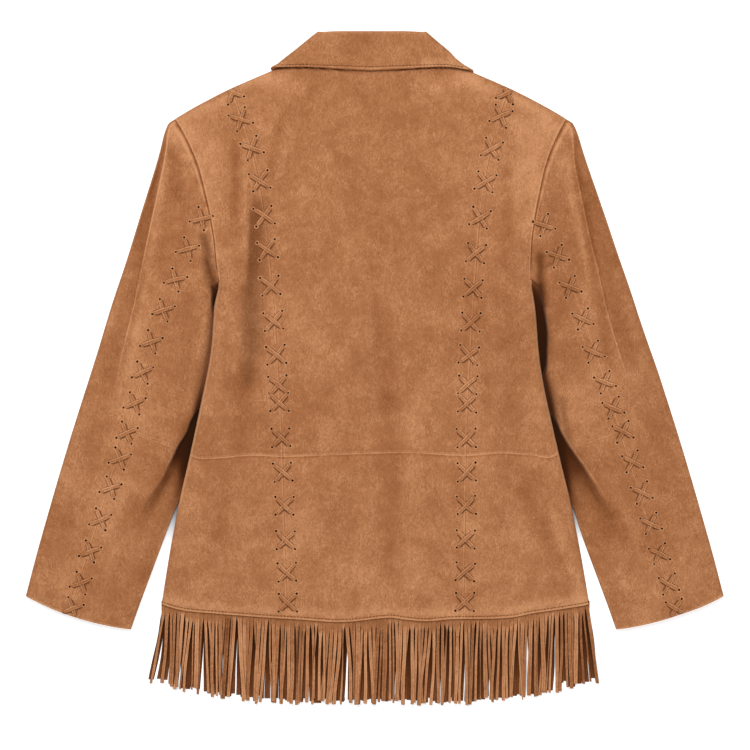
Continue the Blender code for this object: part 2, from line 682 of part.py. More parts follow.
def inside_cuff(point):
    """A sleeve lacing point, kept inside the cuff's edge."""
    inner, outer = Vector(CUFF_INNER), Vector(CUFF_OUTER)
    across = (outer - inner).normalized()
    down = Vector((across.y, -across.x))
    plan = Vector((abs(point.x), point.y)) - inner
    past = plan.dot(down) - CUFF_BOW + CUFF_MARGIN
    if past <= 0.0:
        return point
    back = down * past
    return point - Vector((math.copysign(back.x, point.x), back.y))


# ---------------------------------------------------------------- the jacket
def clear_scene():
    for old in list(bpy.data.objects):
        bpy.data.objects.remove(old, do_unlink=True)


def main():
    clear_scene()
    jacket = bpy.data.collections.new("fringed_suede_jacket")
    bpy.context.scene.collection.children.link(jacket)
    suede = material("suede", (0.47, 0.20, 0.085), 0.95)
    collar_suede = material("collar_suede", (0.48, 0.205, 0.088), 0.95)
    fringe_suede = material("fringe_suede", (0.40, 0.16, 0.068), 0.95)
    thong_suede = material("thong_suede", (0.52, 0.24, 0.11), 0.9)

    upper = rows_down_to(WAIST_Y, ARMHOLE_STEPS, 6)
    lower = [i / 6 for i in range(7)]
    backs = [
        back_centre("back_centre_upper", None, WAIST_Y, upper, suede, jacket),
        back_centre("back_centre_lower", WAIST_Y, None, lower, suede, jacket),
    ]
    sleeves = {}
    for side, hand in ((-1, "left"), (1, "right")):
        backs.append(back_side(f"back_{hand}_upper", side, None, WAIST_Y, upper, suede, jacket))
        backs.append(back_side(f"back_{hand}_lower", side, WAIST_Y, None, lower, suede, jacket))
        front_panel(f"front_{hand}", side, suede, jacket)
        above = [v for v in SLEEVE_STEPS if v < ELBOW] + [ELBOW - ELBOW_GAP]
        below = [ELBOW + ELBOW_GAP] + [v for v in SLEEVE_STEPS if v > ELBOW]
        sleeves[side] = [
            top_sleeve(f"sleeve_top_{hand}", side, suede, jacket),
            under_sleeve(f"sleeve_under_{hand}_upper", side, above, suede, jacket),
            under_sleeve(f"sleeve_under_{hand}_lower", side, below, suede, jacket),
        ]
    collar("collar", collar_suede, jacket)

    whole = [i / 7 - 1.0 for i in range(15)]
    right_half = [GAP / 2 / HEM_HALF, *HEM_STEPS[1:], *(1.0 - end / HEM_HALF for end in HEM_ENDS)]
    left_half = [-share for share in right_half[::-1]]
    falling = {0.0: hang(0.0), 0.12: hang(0.25), 0.3: hang(0.8), 0.5: hang(1.0), 1.0: hang(1.0)}
    lying = {0.0: lie, 0.5: lie, 1.0: lie}
    fringe("fringe_back", whole, falling, fringe_suede, jacket)
    fringe("fringe_front_left", left_half, lying, fringe_suede, jacket)
    fringe("fringe_front_right", right_half, lying, fringe_suede, jacket)

    bpy.context.view_layer.update()
    for side, hand in ((-1, "left"), (1, "right")):
        lacing(f"lacing_back_{hand}", back_crosses(side), panels_below(backs), thong_suede, jacket,
               under_shoulder)
        lacing(f"lacing_sleeve_{hand}", sleeve_crosses(side), panels_below(sleeves[side]),
               thong_suede, jacket, inside_cuff)


main()
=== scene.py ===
import math

import bpy
import numpy as np
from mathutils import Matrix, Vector
from mathutils.bvhtree import BVHTree


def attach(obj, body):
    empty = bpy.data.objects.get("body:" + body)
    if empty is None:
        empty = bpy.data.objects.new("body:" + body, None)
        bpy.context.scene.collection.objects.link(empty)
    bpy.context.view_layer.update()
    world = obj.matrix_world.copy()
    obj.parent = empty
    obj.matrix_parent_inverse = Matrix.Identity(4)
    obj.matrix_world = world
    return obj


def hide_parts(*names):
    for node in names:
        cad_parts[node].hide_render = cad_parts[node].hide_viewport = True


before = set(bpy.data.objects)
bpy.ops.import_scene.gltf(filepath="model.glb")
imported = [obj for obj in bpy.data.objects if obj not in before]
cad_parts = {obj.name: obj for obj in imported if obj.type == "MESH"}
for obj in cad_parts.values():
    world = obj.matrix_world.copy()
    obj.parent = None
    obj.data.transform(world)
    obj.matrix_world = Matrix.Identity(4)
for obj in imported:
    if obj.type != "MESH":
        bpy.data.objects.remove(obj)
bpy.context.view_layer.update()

# All sizes are in millimetres until a mesh is made. The jacket lies on z = 0 with its back up,
# +Y towards the collar and +X towards the wearer's right. "x" in a table is the distance from the
# centre line and side is -1 on the wearer's left and +1 on the right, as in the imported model.
MM = 0.001

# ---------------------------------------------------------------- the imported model's dimensions
SUEDE = 1.2
COLLAR_CLOTH = 2.2
BED = SUEDE / 2
NECK_HALF, NECK_Y, BACK_NECK_Y, FRONT_NECK_Y = 75.0, 364.5, 353.0, 338.0
SHOULDER_HALF, SHOULDER_Y, SHOULDER_CROWN, CROWN_SHIFT, SHOULDER_SLANT = 226.0, 291.0, 4.2, 1.6, 0.895
SEAM_TOP, ARMPIT_Y, ARMPIT_EASE = 161.0, 107.0, 0.6
HEM_Y, HEM_HALF, HEM_RISE, HEM_POWER = -291.0, 249.0, 18.0, 2.6
CUFF_INNER, CUFF_OUTER, CUFF_BOW = (282.0, -302.0), (404.3, -263.0), 6.0
LACED_AT_ARMHOLE, LACED_AT_CUFF, ELBOW_DIP = 0.443, 0.572, 21.6
FRINGE_TIP_Y, FRINGE_TIP_RISE, FRINGE_SPREAD = -392.95, 27.0, 14.0
SIDE_ROLL, SIDE_REACH, ROLL_SHARE, SEAMED, COLLAR_WIDTH = 9.0, 70.0, 0.62, 60.0, 95.0
SLEEVE_LIFT, LIFT_TOP, LIFT_END, LIFT_REACH = 4.0, (100.0, 14.0), (-186.0, 20.0), (30.0, 16.0)
COLLAR_LIFT, COLLAR_CORNER, COLLAR_SLOPE, COLLAR_REACH = 3.0, (44.0, 296.0), (0.68, 0.83), (72.0, 30.0)

LEAN = ((393, -3.4), (300, -3.4), (230, -1.8), (107, 0.0), (-100, 1.2), (-290, 2.4))
EDGE = ((291, 226), (271, 215), (239, 203), (203, 194), (173, 188), (142, 184), (107, 183),
        (73, 186), (20, 190), (-46, 203), (-101, 215), (-152, 227), (-213, 239), (-273, 249))
LACED_SEAM = ((327, 161), (256, 139), (177, 125), (95, 117.5), (17, 112), (-80, 107),
              (-198, 104.5), (-291, 102))
SLEEVE_OUTER = ((291, 226), (285, 233.5), (257, 244), (187, 267.5), (131, 285.5), (76, 304),
                (20, 321), (-91, 356), (-203, 388.5), (-263, 404.3))
SLEEVE_INNER = ((107, 184), (95, 181), (85, 179.6), (70, 180.5), (55, 183), (20, 185.5), (-46, 197),
                (-100, 207.5), (-128, 216.5), (-152, 226), (-175, 235.6), (-217, 251), (-272, 271.4),
                (-302, 282))
SLEEVE_LACED = ((188.5, 191), (174, 197.5), (135, 215), (63, 243.5), (-10, 268.6), (-73, 287.7),
                (-140, 308.4), (-213, 330.6), (-285, 353.5))
BACK_LOFT = ((366, 9.0), (345, 9.2), (290, 12.0), (200, 13.5), (0, 13.5), (-100, 13.0),
             (-200, 11.0), (-291, 8.2))
SLEEVE_LOFT = ((291, 12.0), (0, 12.0), (-100, 11.0), (-200, 10.0), (-302, 8.0))
SHELF = ((107, 2.6), (-60, 2.6), (-100, 3.4), (-117, 4.4), (-128, 5.6), (-139, 7.2), (-152, 8.6),
         (-165, 9.4), (-200, 9.5), (-302, 7.6))
INNER_FOLD = ((107, 3.4), (98, 1.3), (90, 0.9), (70, 0.9), (-140, 0.9), (-175, 1.8), (-217, 2.4), (-302, 2.6))
OUTER_FOLD = ((291, 2.2), (257, 3.0), (-263, 3.0))
COLLAR = (
    (90, 0, 353.0, 0, 389.9, 0, 347.4), (90, 25, 354.3, 21.5, 389.9, 40, 349.3),
    (90, 50, 358.2, 42.5, 389.9, 80, 351.2), (90, 75, 364.5, 60, 389.2, 112, 351.0),
    (45, 79, 367.6, 63, 388.2, 117.6, 350.8), (0, 80.5, 367.6, 64, 387.5, 119.8, 349.8),
    (-45, 79, 366.6, 63, 387.0, 117.6, 348.2), (-90, 75, 364.5, 61, 386.0, 114, 346.8),
    (-90, 60, 355.0, 49, 379.0, 97, 330.0), (-90, 34, 343.5, 28, 366.0, 72, 311.0),
    (-90, 1, 338.0, 1, 352.0, 44, 296.0),
)
STAND_MID, STAND_SPREAD, FALL_MID, FALL_SPREAD, ROLL_RADIUS = 6.6, 2.4, 6.55, 5.45, 1.5

# ---------------------------------------------------------------- finer forms of this scene
# Where each sleeve's long ridge lies, in from its outer edge, and where its elbow fold drops.
RIDGE = {
    -1: ((291, 3), (280, 4.5), (260, 8.5), (237, 12), (202, 17), (164, 22.5), (138, 26.5),
         (101, 33), (64, 39.5), (8, 44.6), (-18, 47.4), (-302, 44)),
    1: ((291, 4), (277, 7), (232, 21.5), (211, 25.6), (180, 32.7), (150, 39.4), (120, 44),
        (80, 51), (35, 56), (-18, 56), (-302, 44)),
}
STEP = {
    -1: ((107, 176), (98, 187.5), (88, 190.5), (70, 188), (55, 185), (20, 186), (-20, 192),
         (-41.5, 202.5), (-60, 213.5), (-74, 219), (-90, 229), (-100, 233.5), (-111, 239),
         (-120, 243.5), (-130, 249.5), (-140, 256.5), (-150, 264), (-161, 270.5), (-200, 290)),
    1: ((107, 180), (98, 191.5), (80, 196.5), (57, 200.5), (40, 202.6), (22, 202.4), (8, 202), (-1, 200),
        (-12, 195.5), (-22, 193), (-35, 196), (-46, 203), (-59, 212.5), (-74, 219.5), (-93, 231),
        (-114, 245.8), (-136, 260.5), (-163, 278), (-200, 296)),
}
STEP_WIDTH = 2.6

# The waist seam's and the hem's slight waves, (x, y) and (x, rise).
WAIST_SEAM = ((-213, -101), (-204, -104), (-178, -103.5), (-143, -100.3), (-106, -101.8),
              (-32, -99), (41, -97.5), (106, -100.6), (147, -97.7), (184, -100.3), (202, -103),
              (215, -98.5))
HEM_WAVE = ((-249, 0), (-224, -2.5), (-186, -0.8), (-149, 0), (-88, -0.5), (-50, -2.1),
            (-27, -1.4), (16, 3.0), (33, 0.9), (59, -1.4), (89, 0), (157, -2.5), (184, 0), (249, 0))

# Soft folds of the back: x0, y0, x1, y1, half width, height.
BACK_FOLDS = (
    (2, 101, 10, 8, 15, -3.6), (10, 8, 19, -83, 15, -3.6), (18, -150, 18, -262, 17, -3.4),
    (-62, -140, -52, -291, 26, 2.0), (66, -140, 62, -291, 26, 2.0),
    (-162, 268, -146, 196, 13, -2.6), (-140, 180, -140, 34, 13, -3.4),
    (128, 175, 132, 60, 16, -2.6), (176, 262, 190, 228, 13, -2.0),
    (-164, 190, -160, 110, 9, -1.6), (160, 170, 162, 60, 10, 1.2),
    (-163, 60, -160, -85, 14, -2.4), (-169, -128, -196, -233, 11, -1.8),
    (-140, -112, -150, -180, 12, 1.2), (155, -120, 172, -230, 12, -1.4),
    (205, -135, 214, -215, 9, -1.2), (150, 20, 163, -80, 12, -1.8),
)
# Creases with one steep side: x0, y0, x1, y1, bow, reach of the gentle side, width of the steep
# side, height, and the side it is steep on (+1 is to the right of the line's run).
BACK_CREASES = (
    (-142, 246, -151, 60, 3, 20, 5, 2.4, -1),
    (-4, -144, -4, -178, 1, 6, 3, 0.7, 1),
    (146, 300, 152, 240, -2, 14, 6, 1.0, 1),
    (-186, -112, -206, -176, 3, 12, 5, 1.0, 1),
    (186, -110, 208, -190, -3, 12, 6, 0.9, -1),
)
# The same for the sleeves, in world x.
SLEEVE_FOLDS = (
    (-288, -138, -306, -192, 8, 1.7), (-280, -150, -298, -190, 9, -1.7),
    (192, 130, 193, 88, 7, -2.2), (-262, -158, -270, -176, 6, -1.2),
    (270, -158, 290, -196, 9, -1.4), (284, -150, 304, -196, 8, 1.3),
    (-226, 200, -236, 110, 11, -1.6), (214, 190, 222, 110, 10, -1.5),
    (-300, -20, -322, -110, 16, -1.5), (318, -30, 338, -120, 16, -1.6),
    (-340, -200, -352, -262, 12, 1.2), (352, -180, 366, -250, 12, 1.1),
    (-229, 274, -222, 277, 1.6, -0.8), (-219, 235, -206, 241, 2.0, -1.0),
    (-214, 226, -203, 230, 1.8, -0.7), (202, 243, 218, 241.5, 2.0, -1.0),
    (200, 229, 213, 227, 1.8, -0.8), (198, 212, 209, 209, 1.8, -0.6),
    (217, 270, 226, 267, 1.6, -0.6),
)
SLEEVE_CREASES = (
    (-248, -128, -268, -163, 2, 10, 4, 1.2, -1),
    (-240, -136, -262, -160, 2, 7, 3, 0.8, -1),
    (246, -122, 280, -166, 2, 8, 4, 1.2, 1),
    (192, 96, 206, 60, 2, 10, 5, 1.3, 1),
)

# Middle of each cross of the lacing, in plan.
BACK_CENTRES = {
    -1: ((-164.1, 321.6), (-153.7, 290.3), (-140.9, 256.6), (-131.7, 218.4), (-127.0, 177.8),
         (-123.0, 138.3), (-119.5, 96.6), (-115.9, 56.0), (-113.1, 16.5), (-110.8, -18.3),
         (-109.6, -38.0), (-107.3, -79.2), (-105.0, -119.2), (-103.2, -158.6), (-102.1, -198.1),
         (-100.3, -235.2), (-99.2, -271.1)),
    1: ((155.4, 320.8), (147.9, 293.8), (137.5, 255.5), (129.9, 217.2), (123.5, 176.0),
        (118.9, 134.8), (115.4, 94.2), (113.1, 54.8), (110.4, 16.5), (109.0, -18.3),
        (108.5, -39.1), (107.6, -79.8), (107.9, -119.2), (107.6, -157.5), (107.3, -196.9),
        (106.8, -235.2), (106.1, -270.0)),
}
SLEEVE_CENTRES = {
    -1: ((-199.5, 174.3), (-215.8, 139.5), (-229.7, 103.5), (-243.6, 68.7), (-257.3, 31.6),
         (-268.0, -3.8), (-277.0, -39.1), (-285.9, -73.4), (-294.6, -103.5), (-305.1, -137.8),
         (-316.7, -174.3), (-328.9, -211.4), (-339.9, -247.9), (-349.2, -278.1)),
    1: ((197.8, 167.3), (214.0, 131.4), (228.5, 95.4), (243.0, 58.3), (255.2, 20.6), (268.5, -14.8),
        (278.4, -44.9), (289.4, -72.8), (300.4, -107.0), (311.5, -143.0), (321.9, -178.9),
        (332.3, -214.3), (342.8, -249.1), (350.9, -278.1)),
}

# Painted light and shade over wide areas of the cloth: x0, y0, x1, y1, half width, amount.
BACK_LIGHT_AND_SHADE = (
    (12, 60, 16, -40, 10, -0.5), (17, -40, 17, -230, 13, -0.6), (-187, -115, -190, -225, 13, -0.4),
    (-198, 265, -188, 190, 20, 0.6), (184, 265, 182, 180, 22, 0.75), (155, 70, 160, -130, 16, -0.35),
    (190, -130, 195, -190, 14, -0.45), (42, -60, 44, -160, 12, 0.3), (-107, 280, -119, 229, 5.8, -0.55),
    (-158, 260, -160, 179, 4.6, -0.75), (-146, 266, -148, 144, 2.6, 0.42), (-151, -3, -157, -88, 9.3, -0.7),
    (-122, 5, -111, -82, 9.3, 0.4), (157, 229, 156, 121, 7.0, -0.55), (-2, 117, 5, 28, 4.6, -0.45),
    (129, 51, 130, -50, 5.8, -0.4), (-172, -131, -182, -189, 5.8, -0.4), (170, -138, 212, -224, 8.1, -0.4),
    (168, 315, 187, 301, 9.3, 0.7), (201, 291, 216, 278, 7.0, 0.9), (-222, 291, -206, 266, 7.0, 0.5),
    (-143, 333, -122, 340, 7.0, 0.9), (-111, 326, -99, 312, 9.3, 0.45), (106, 342, 147, 318, 8.1, 0.6),
    (77, 324, 89, 315, 8.1, 0.4), (-67, 322, -33, 305, 7.0, -0.3), (-166, 11, -176, -59, 10.4, -0.3),
    (-149, 152, -147, 124, 2.0, 0.3), (-150, -235, 150, -240, 30, 0.22), (-172, 130, -168, 98, 9, 0.35),
    (-205, 290, -172, 303, 9, 0.35), (-182, 255, -190, 215, 11, 0.3), (165, 290, 200, 268, 12, 0.35),
    (182, 235, 194, 200, 9, 0.3), (-240, -150, 240, -160, 60, 0.12), (-60, 250, 60, 240, 60, -0.08),
    (95, -80, 98, -190, 6, -0.3), (-20, 330, 40, 320, 10, -0.15),
    (-226, 290, -160, 316, 5, 0.6), (160, 316, 226, 290, 5, 0.6), (150, 300, 190, 240, 8, 0.25),
    (235, -240, 240, -280, 8, 0.5), (208, -170, 226, -230, 6, 0.4), (-120, 338, -80, 330, 9, 0.5),
    (-133, 180, -134, 125, 4, -0.5), (80, 330, 120, 338, 9, 0.5),
)
SLEEVE_LIGHT_AND_SHADE = (
    (-216, 80, -214, -60, 14, -0.4), (-245, -125, -262, -235, 16, -0.45), (-276, 40, -282, -40, 14, 0.55),
    (245, -100, 262, -180, 16, -0.5), (215, 90, 222, 0, 16, -0.45), (-214, 262, -206, 235, 10, 0.4),
    (208, 262, 202, 235, 10, 0.4), (-227, 254, -227, 202, 7.0, -0.7), (-251, 266, -259, 208, 4.6, -0.5),
    (-246, 220, -253, 156, 4.6, 0.45), (-253, 156, -264, 115, 4.6, 0.45), (-281, 133, -315, 40, 8.1, 0.6),
    (-267, 117, -293, -7, 3.5, -0.45), (235, 266, 251, 150, 4.6, -0.6), (251, 150, 272, 5, 5.8, -0.6),
    (230, 214, 251, 104, 3.5, 0.35), (220, 133, 228, 94, 8.1, 0.4), (284, 113, 304, 40, 7.0, 0.4),
    (-257, -146, -278, -166, 7.0, -0.4), (-236, 282, -217, 249, 7.0, 0.8), (-240, 284, -262, 206, 4.0, -0.8),
    (-215, 140, -206, 112, 6.0, -0.3), (276, -190, 290, -285, 16, -0.34), (-290, 0, -300, -80, 14, 0.28),
    (-300, 70, -318, 0, 9, 0.3), (-252, 262, -258, 215, 4.0, -0.4), (232, 262, 238, 215, 4.0, -0.3),
    (311, 5, 322, -45, 10, 0.28), (-306, -215, -318, -265, 9, 0.28), (222, -40, 230, -80, 6, -0.3),
    (-238, 195, -234, 150, 9, 0.3), (-262, 80, -270, 40, 7, 0.3), (312, -110, 322, -150, 10, 0.3),
    (222, 232, 228, 200, 8, 0.25), (240, 252, 246, 225, 4, 0.4),
    (-249, 262, -262, 205, 6, -0.8), (-238, 270, -246, 200, 4, 0.45), (-228, 288, -212, 262, 4, 0.7),
    (224, 284, 238, 262, 5, 0.5), (232, 196, 246, 130, 4, 0.35), (267, 84, 271, 48, 4, -0.35),
    (300, 90, 312, 10, 8, 0.35), (219, -100, 232, -195, 4, 0.4),
    (-300, 92, -312, 50, 7, 0.35), (-222, 262, -218, 240, 4, -0.3),
)
COLLAR_LIGHT_AND_SHADE = (
    (-68, 386, -122, 350, 9.0, 0.2), (64, 386, 116, 350, 8.0, 0.2), (-30, 380, 10, 372, 12.0, -0.3),
    (-108, 350, -124, 346, 6.0, 0.7), (72, 354, 112, 352, 7.0, 0.9),
)
# How far each end of the collar is drawn toward the middle, by height.
COLLAR_DRAW = {
    -1: ((338, 0.0), (344.8, 1.2), (349.5, 4.6), (354, 7.0), (361, 6.0), (370, 5.6), (379.6, 4.4),
         (386.6, 3.5), (392, 3.5)),
    1: ((338, 0.0), (344.8, 0.0), (349.5, -2.3), (354, -4.8), (361, -5.4), (370, -3.5), (379.6, -2.2),
        (386.6, -1.0), (392, 0.0)),
}
# Painted shade in deep troughs of the back, and on the sleeves, soft on both sides: x0, y0, x1, y1, reach to
# the left and right, depth.
BACK_SHADES = (
    (-140, 184, -142, 140, 2.6, 13.5, 0.52), (-142, 140, -145, 92, 2.8, 14.5, 0.50),
    (-143, 90, -144, 22, 10.0, 13.0, 0.44), (-144, 25, -145, -10, 10.0, 9.0, 0.38),
)
SLEEVE_SHADES = (
    (-196, 152, -191, 129, 5.6, 5.2, 0.52), (-193, 127, -188, 98, 6.2, 5.2, 0.66),
    (-189.5, 96, -185.5, 82, 3.6, 3.0, 0.80), (194, 131, 193, 98, 4.6, 4.8, 0.58),
    (193, 98, 196, 74, 4.6, 6.0, 0.74), (194, 117, 206, 122, 3.0, 3.0, 0.38),
    (216, -34, 226, -84, 4.0, 4.5, 0.34),
)
# Shade beside the body's free edge on each sleeve: y, depth, reach, and how far it stays full.
EDGE_SHADE = {
    -1: ((110, 0.0, 4, 0.5), (98, 0.5, 5, 0.5), (85, 0.6, 5, 0.5), (60, 0.58, 7, 0.5), (34, 0.56, 8, 0.5),
         (10, 0.48, 13, 0.5), (-10, 0.54, 12, 0.5), (-30, 0.74, 9, 1.0), (-50, 0.90, 8, 1.0),
         (-110, 0.80, 8, 1.0), (-130, 0.64, 8, 0.8), (-150, 0.55, 8, 0.5), (-175, 0.25, 8, 0.0),
         (-190, 0.0, 8, 0.0)),
    1: ((110, 0.0, 4, 0.5), (85, 0.6, 6, 0.5), (50, 0.6, 6, 0.5), (20, 0.72, 9, 1.0), (0, 0.85, 11, 1.5),
        (-35, 0.88, 14, 2.0), (-50, 0.90, 12, 2.0), (-110, 0.88, 9, 1.0), (-135, 0.80, 8, 1.0),
        (-155, 0.65, 8, 0.5), (-180, 0.25, 8, 0.0), (-195, 0.0, 8, 0.0)),
}
# How dark the hollow under each elbow fold is, and its fold's own shadow, by height.
HOLLOW = {
    -1: ((-165, 0.0), (-150, 0.08), (-140, 0.22), (-128, 0.42), (-117, 0.66), (-100, 0.90), (-80, 0.95),
         (-20, 0.97), (70, 0.97), (80, 0.94), (90, 0.80), (98, 0.40), (106, 0.0)),
    1: ((-175, 0.0), (-160, 0.08), (-150, 0.18), (-138, 0.38), (-128, 0.60), (-117, 0.72), (-100, 0.80),
        (-70, 0.90), (-20, 0.95), (60, 0.95), (76, 0.86), (90, 0.74), (98, 0.62), (104, 0.50), (110, 0.42)),
}
FOLD_SHADE = ((-178, 0.0), (-160, 0.30), (-150, 0.50), (-138, 0.62), (-126, 0.68), (-112, 0.6), (-95, 0.5),
              (100, 0.5))
# Sections across seams, folds and edges, as rounded bumps: height, place and width of each. The FORM
# ones shape the cloth; the others are painted on its colour: paler on raised edges, as painted highlight
# and worn nap, and darker where they are negative, as painted shade in grooves and under edges.
SEAM_FORM = ((0.20, 1.15, 0.7), (0.20, -1.15, 0.7), (-0.20, 0.0, 0.5), (-0.16, 3.4, 1.2), (-0.16, -3.4, 1.2))
BACK_SEAM_LIGHT_AND_SHADE = ((0.95, -1.1, 0.6), (-0.75, 0.1, 0.5), (0.5, 1.4, 0.6))
SLEEVE_SEAM_LIGHT_AND_SHADE = ((0.95, -1.0, 0.6), (-0.7, 0.1, 0.5), (0.45, 1.3, 0.6))
WAIST_FORM, WAIST_DROP, WAIST_REACH = ((0.42, 0.8, 0.9),), 0.45, 4.0
WAIST_LINES = ((2.3, 0.8, 0.6), (0.8, 2.9, 0.6))
WAIST_SHADE = ((-0.55, -1.1, 0.9), (-0.25, 4.6, 0.9))
HEM_FORM = ((0.28, 0.6, 0.8), (-0.18, 2.6, 0.6))
HEM_LIGHT_AND_SHADE = ((1.4, 0.5, 0.6), (-0.5, 2.6, 0.5), (0.65, 8.0, 6.0))
ARMHOLE_FORM, ARMHOLE_LIGHT_AND_SHADE = ((0.40, 1.7, 1.2), (-1.0, 0.0, 0.55)), ((0.7, 1.6, 0.9), (-2.2, 0.0, 0.7))
HEAD_FORM = ((-1.5, 0.0, 1.1), (0.2, 2.6, 1.4))
HEAD_SHADE, HEAD_LIGHT = ((-2.2, 0.0, 0.9),), ((1.0, 2.7, 0.9),)
ELBOW_FORM = ((0.16, 1.3, 0.8), (0.16, -1.3, 0.8), (-0.15, 0.0, 0.6))
ELBOW_LIGHT_AND_SHADE = ((0.75, 1.2, 0.6), (-0.55, 0.0, 0.5), (0.5, -1.2, 0.6))
RIDGE_FORM = ((0.55, 0.0, 1.6), (-0.5, -5.0, 3.4), (-0.45, 8.0, 5.5))
COLLAR_FORM, COLLAR_EDGE_LIGHT_AND_SHADE = ((0.30, 1.2, 1.2), (-0.32, 3.3, 0.9)), ((0.45, 1.0, 1.0), (-0.8, 3.3, 0.6))


# ---------------------------------------------------------------- helpers
def mix(a, b, t):
    return a + (b - a) * t


def smooth(t):
    t = np.clip(t, 0.0, 1.0)
    return t * t * (3.0 - 2.0 * t)


def bulge(t):
    return np.sqrt(1.0 - (1.0 - np.clip(t, 0.0, 1.0)) ** 2)


def bell(distance, width):
    return np.exp(-(distance / width) ** 2)


def profile(distance, bumps):
    """Height of a section made of rounded bumps and grooves."""
    return sum(height * bell(distance - place, width) for height, place, width in bumps)


def polyline(table, place):
    """A table's second column at places in its first, on straight lines between its rows."""
    return np.interp(place, *np.array(sorted(table)).T)


def carried_on(values, count):
    """Values with the last row repeated until there are count rows."""
    return np.concatenate([values, np.repeat(values[-1:], count - len(values), axis=0)])


def read(table, place):
    """A table's second column at places in its first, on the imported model's smooth curve."""
    rows = np.array(sorted(table), dtype=float)
    xs, ys = rows[:, 0], rows[:, 1]
    before = np.maximum(np.arange(len(xs)) - 1, 0)
    after = np.minimum(np.arange(len(xs)) + 1, len(xs) - 1)
    slopes = (ys[after] - ys[before]) / (xs[after] - xs[before])
    place = np.clip(np.asarray(place, dtype=float), xs[0], xs[-1])
    i = np.clip(np.searchsorted(xs, place, side="right"), 1, len(xs) - 1)
    span = xs[i] - xs[i - 1]
    t = (place - xs[i - 1]) / span
    value = (2 * t ** 3 - 3 * t ** 2 + 1) * ys[i - 1] + (3 * t ** 2 - 2 * t ** 3) * ys[i]
    return value + ((t ** 3 - 2 * t ** 2 + t) * slopes[i - 1] + (t ** 3 - t ** 2) * slopes[i]) * span


def wander(x, y, size, seed):
    """Smooth random unevenness between -1 and 1, its swells about size across."""
    count = 96
    cells = np.random.default_rng(seed).uniform(-1.0, 1.0, (count, count))
    gx, gy = np.asarray(x) / size + 1000.0, np.asarray(y) / size + 1000.0
    ix, iy = np.floor(gx).astype(int), np.floor(gy).astype(int)
    tx, ty = smooth(gx - ix), smooth(gy - iy)
    low = mix(cells[ix % count, iy % count], cells[(ix + 1) % count, iy % count], tx)
    high = mix(cells[ix % count, (iy + 1) % count], cells[(ix + 1) % count, (iy + 1) % count], tx)
    return mix(low, high, ty)


def along_line(x0, y0, x1, y1, x, y):
    """Distances in x and y from the nearest point of a short line."""
    run_x, run_y = x1 - x0, y1 - y0
    t = np.clip(((x - x0) * run_x + (y - y0) * run_y) / (run_x ** 2 + run_y ** 2), 0.0, 1.0)
    return x - x0 - run_x * t, y - y0 - run_y * t


def folds(table, x, y):
    """Sum of soft troughs and swells along short lines."""
    total = np.zeros_like(x)
    for *line, width, height in table:
        total += height * smooth(1.0 - np.hypot(*along_line(*line, x, y)) / (2.0 * width))
    return total


def shades(table, x, y):
    """Depth of shade along short lines, with its own reach to either side."""
    total = np.zeros_like(x)
    for *line, left, right, depth in table:
        away_x, away_y = along_line(*line, x, y)
        reach = mix(left, right, smooth(away_x / 4.0 + 0.5))
        total = np.maximum(total, depth * smooth(1.0 - np.hypot(away_x, away_y) / (2.0 * reach)))
    return total


def creases(table, x, y):
    """Sum of creases that rise gently on one side and fall steeply on the other."""
    total = np.zeros_like(x)
    for x0, y0, x1, y1, bow, reach, steep, height, side in table:
        length = math.hypot(x1 - x0, y1 - y0)
        run_x, run_y = (x1 - x0) / length, (y1 - y0) / length
        t = ((x - x0) * run_x + (y - y0) * run_y) / length
        inside = np.clip(t, 0.0, 1.0)
        off = ((x - x0) * run_y - (y - y0) * run_x - bow * 4.0 * inside * (1.0 - inside)) * side
        section = np.where(off < 0.0, np.exp(-np.abs(off) / reach), 1.0 - smooth(off / steep))
        total += height * section * np.sin(math.pi * inside) ** 0.7
    return total


# ---------------------------------------------------------------- plan of the body and the sleeves
def settle(x, y):
    """Small sideways shifts, in world x, where the two sides of the jacket lie differently."""
    shift = 3.0 * bell(y - 97.0, 18.0) * bell(x + 184.0, 13.0)
    shift = shift + 2.2 * bell(y - 45.0, 48.0) * bell(x - 189.0, 13.0)
    outside = smooth((x - read(SLEEVE_LACED, y)) / 34.0)
    shift = shift + 2.9 * smooth((75.0 - y) / 90.0) * outside
    return shift + np.sign(x) * 2.3 * bell(y - 283.0, 30.0) * smooth((np.abs(x) - 150.0) / 60.0)


def top_y(x, neck_y):
    t = np.clip((x - NECK_HALF) / (SHOULDER_HALF - NECK_HALF), 0.0, 1.0)
    shoulder = mix(NECK_Y, SHOULDER_Y, t) + SHOULDER_CROWN * np.sin(math.pi * t ** CROWN_SHIFT)
    return np.where(x < NECK_HALF, mix(neck_y, NECK_Y, (np.minimum(x, NECK_HALF) / NECK_HALF) ** 2),
                    shoulder)


def hem_y(x):
    return HEM_Y + HEM_RISE * (np.abs(x) / HEM_HALF) ** HEM_POWER


def armhole(share):
    y = mix(ARMPIT_Y, SHOULDER_Y, share)
    return np.stack([read(EDGE, y) + ARMPIT_EASE * (1.0 - share) ** 4, y], -1)


def cuff_directions():
    inner, outer = np.array(CUFF_INNER), np.array(CUFF_OUTER)
    across = (outer - inner) / np.linalg.norm(outer - inner)
    return inner, outer, np.array([across[1], -across[0]])


def cuff(share):
    inner, outer, down = cuff_directions()
    share = np.asarray(share)[..., None]
    return inner + (outer - inner) * share + down * CUFF_BOW * 4.0 * share * (1.0 - share)


def sleeve_line(table, v, dip=0.0):
    y = mix(table[0][0], table[-1][0], v) - dip * np.sin(math.pi * v)
    return np.stack([read(table, y), y], -1)


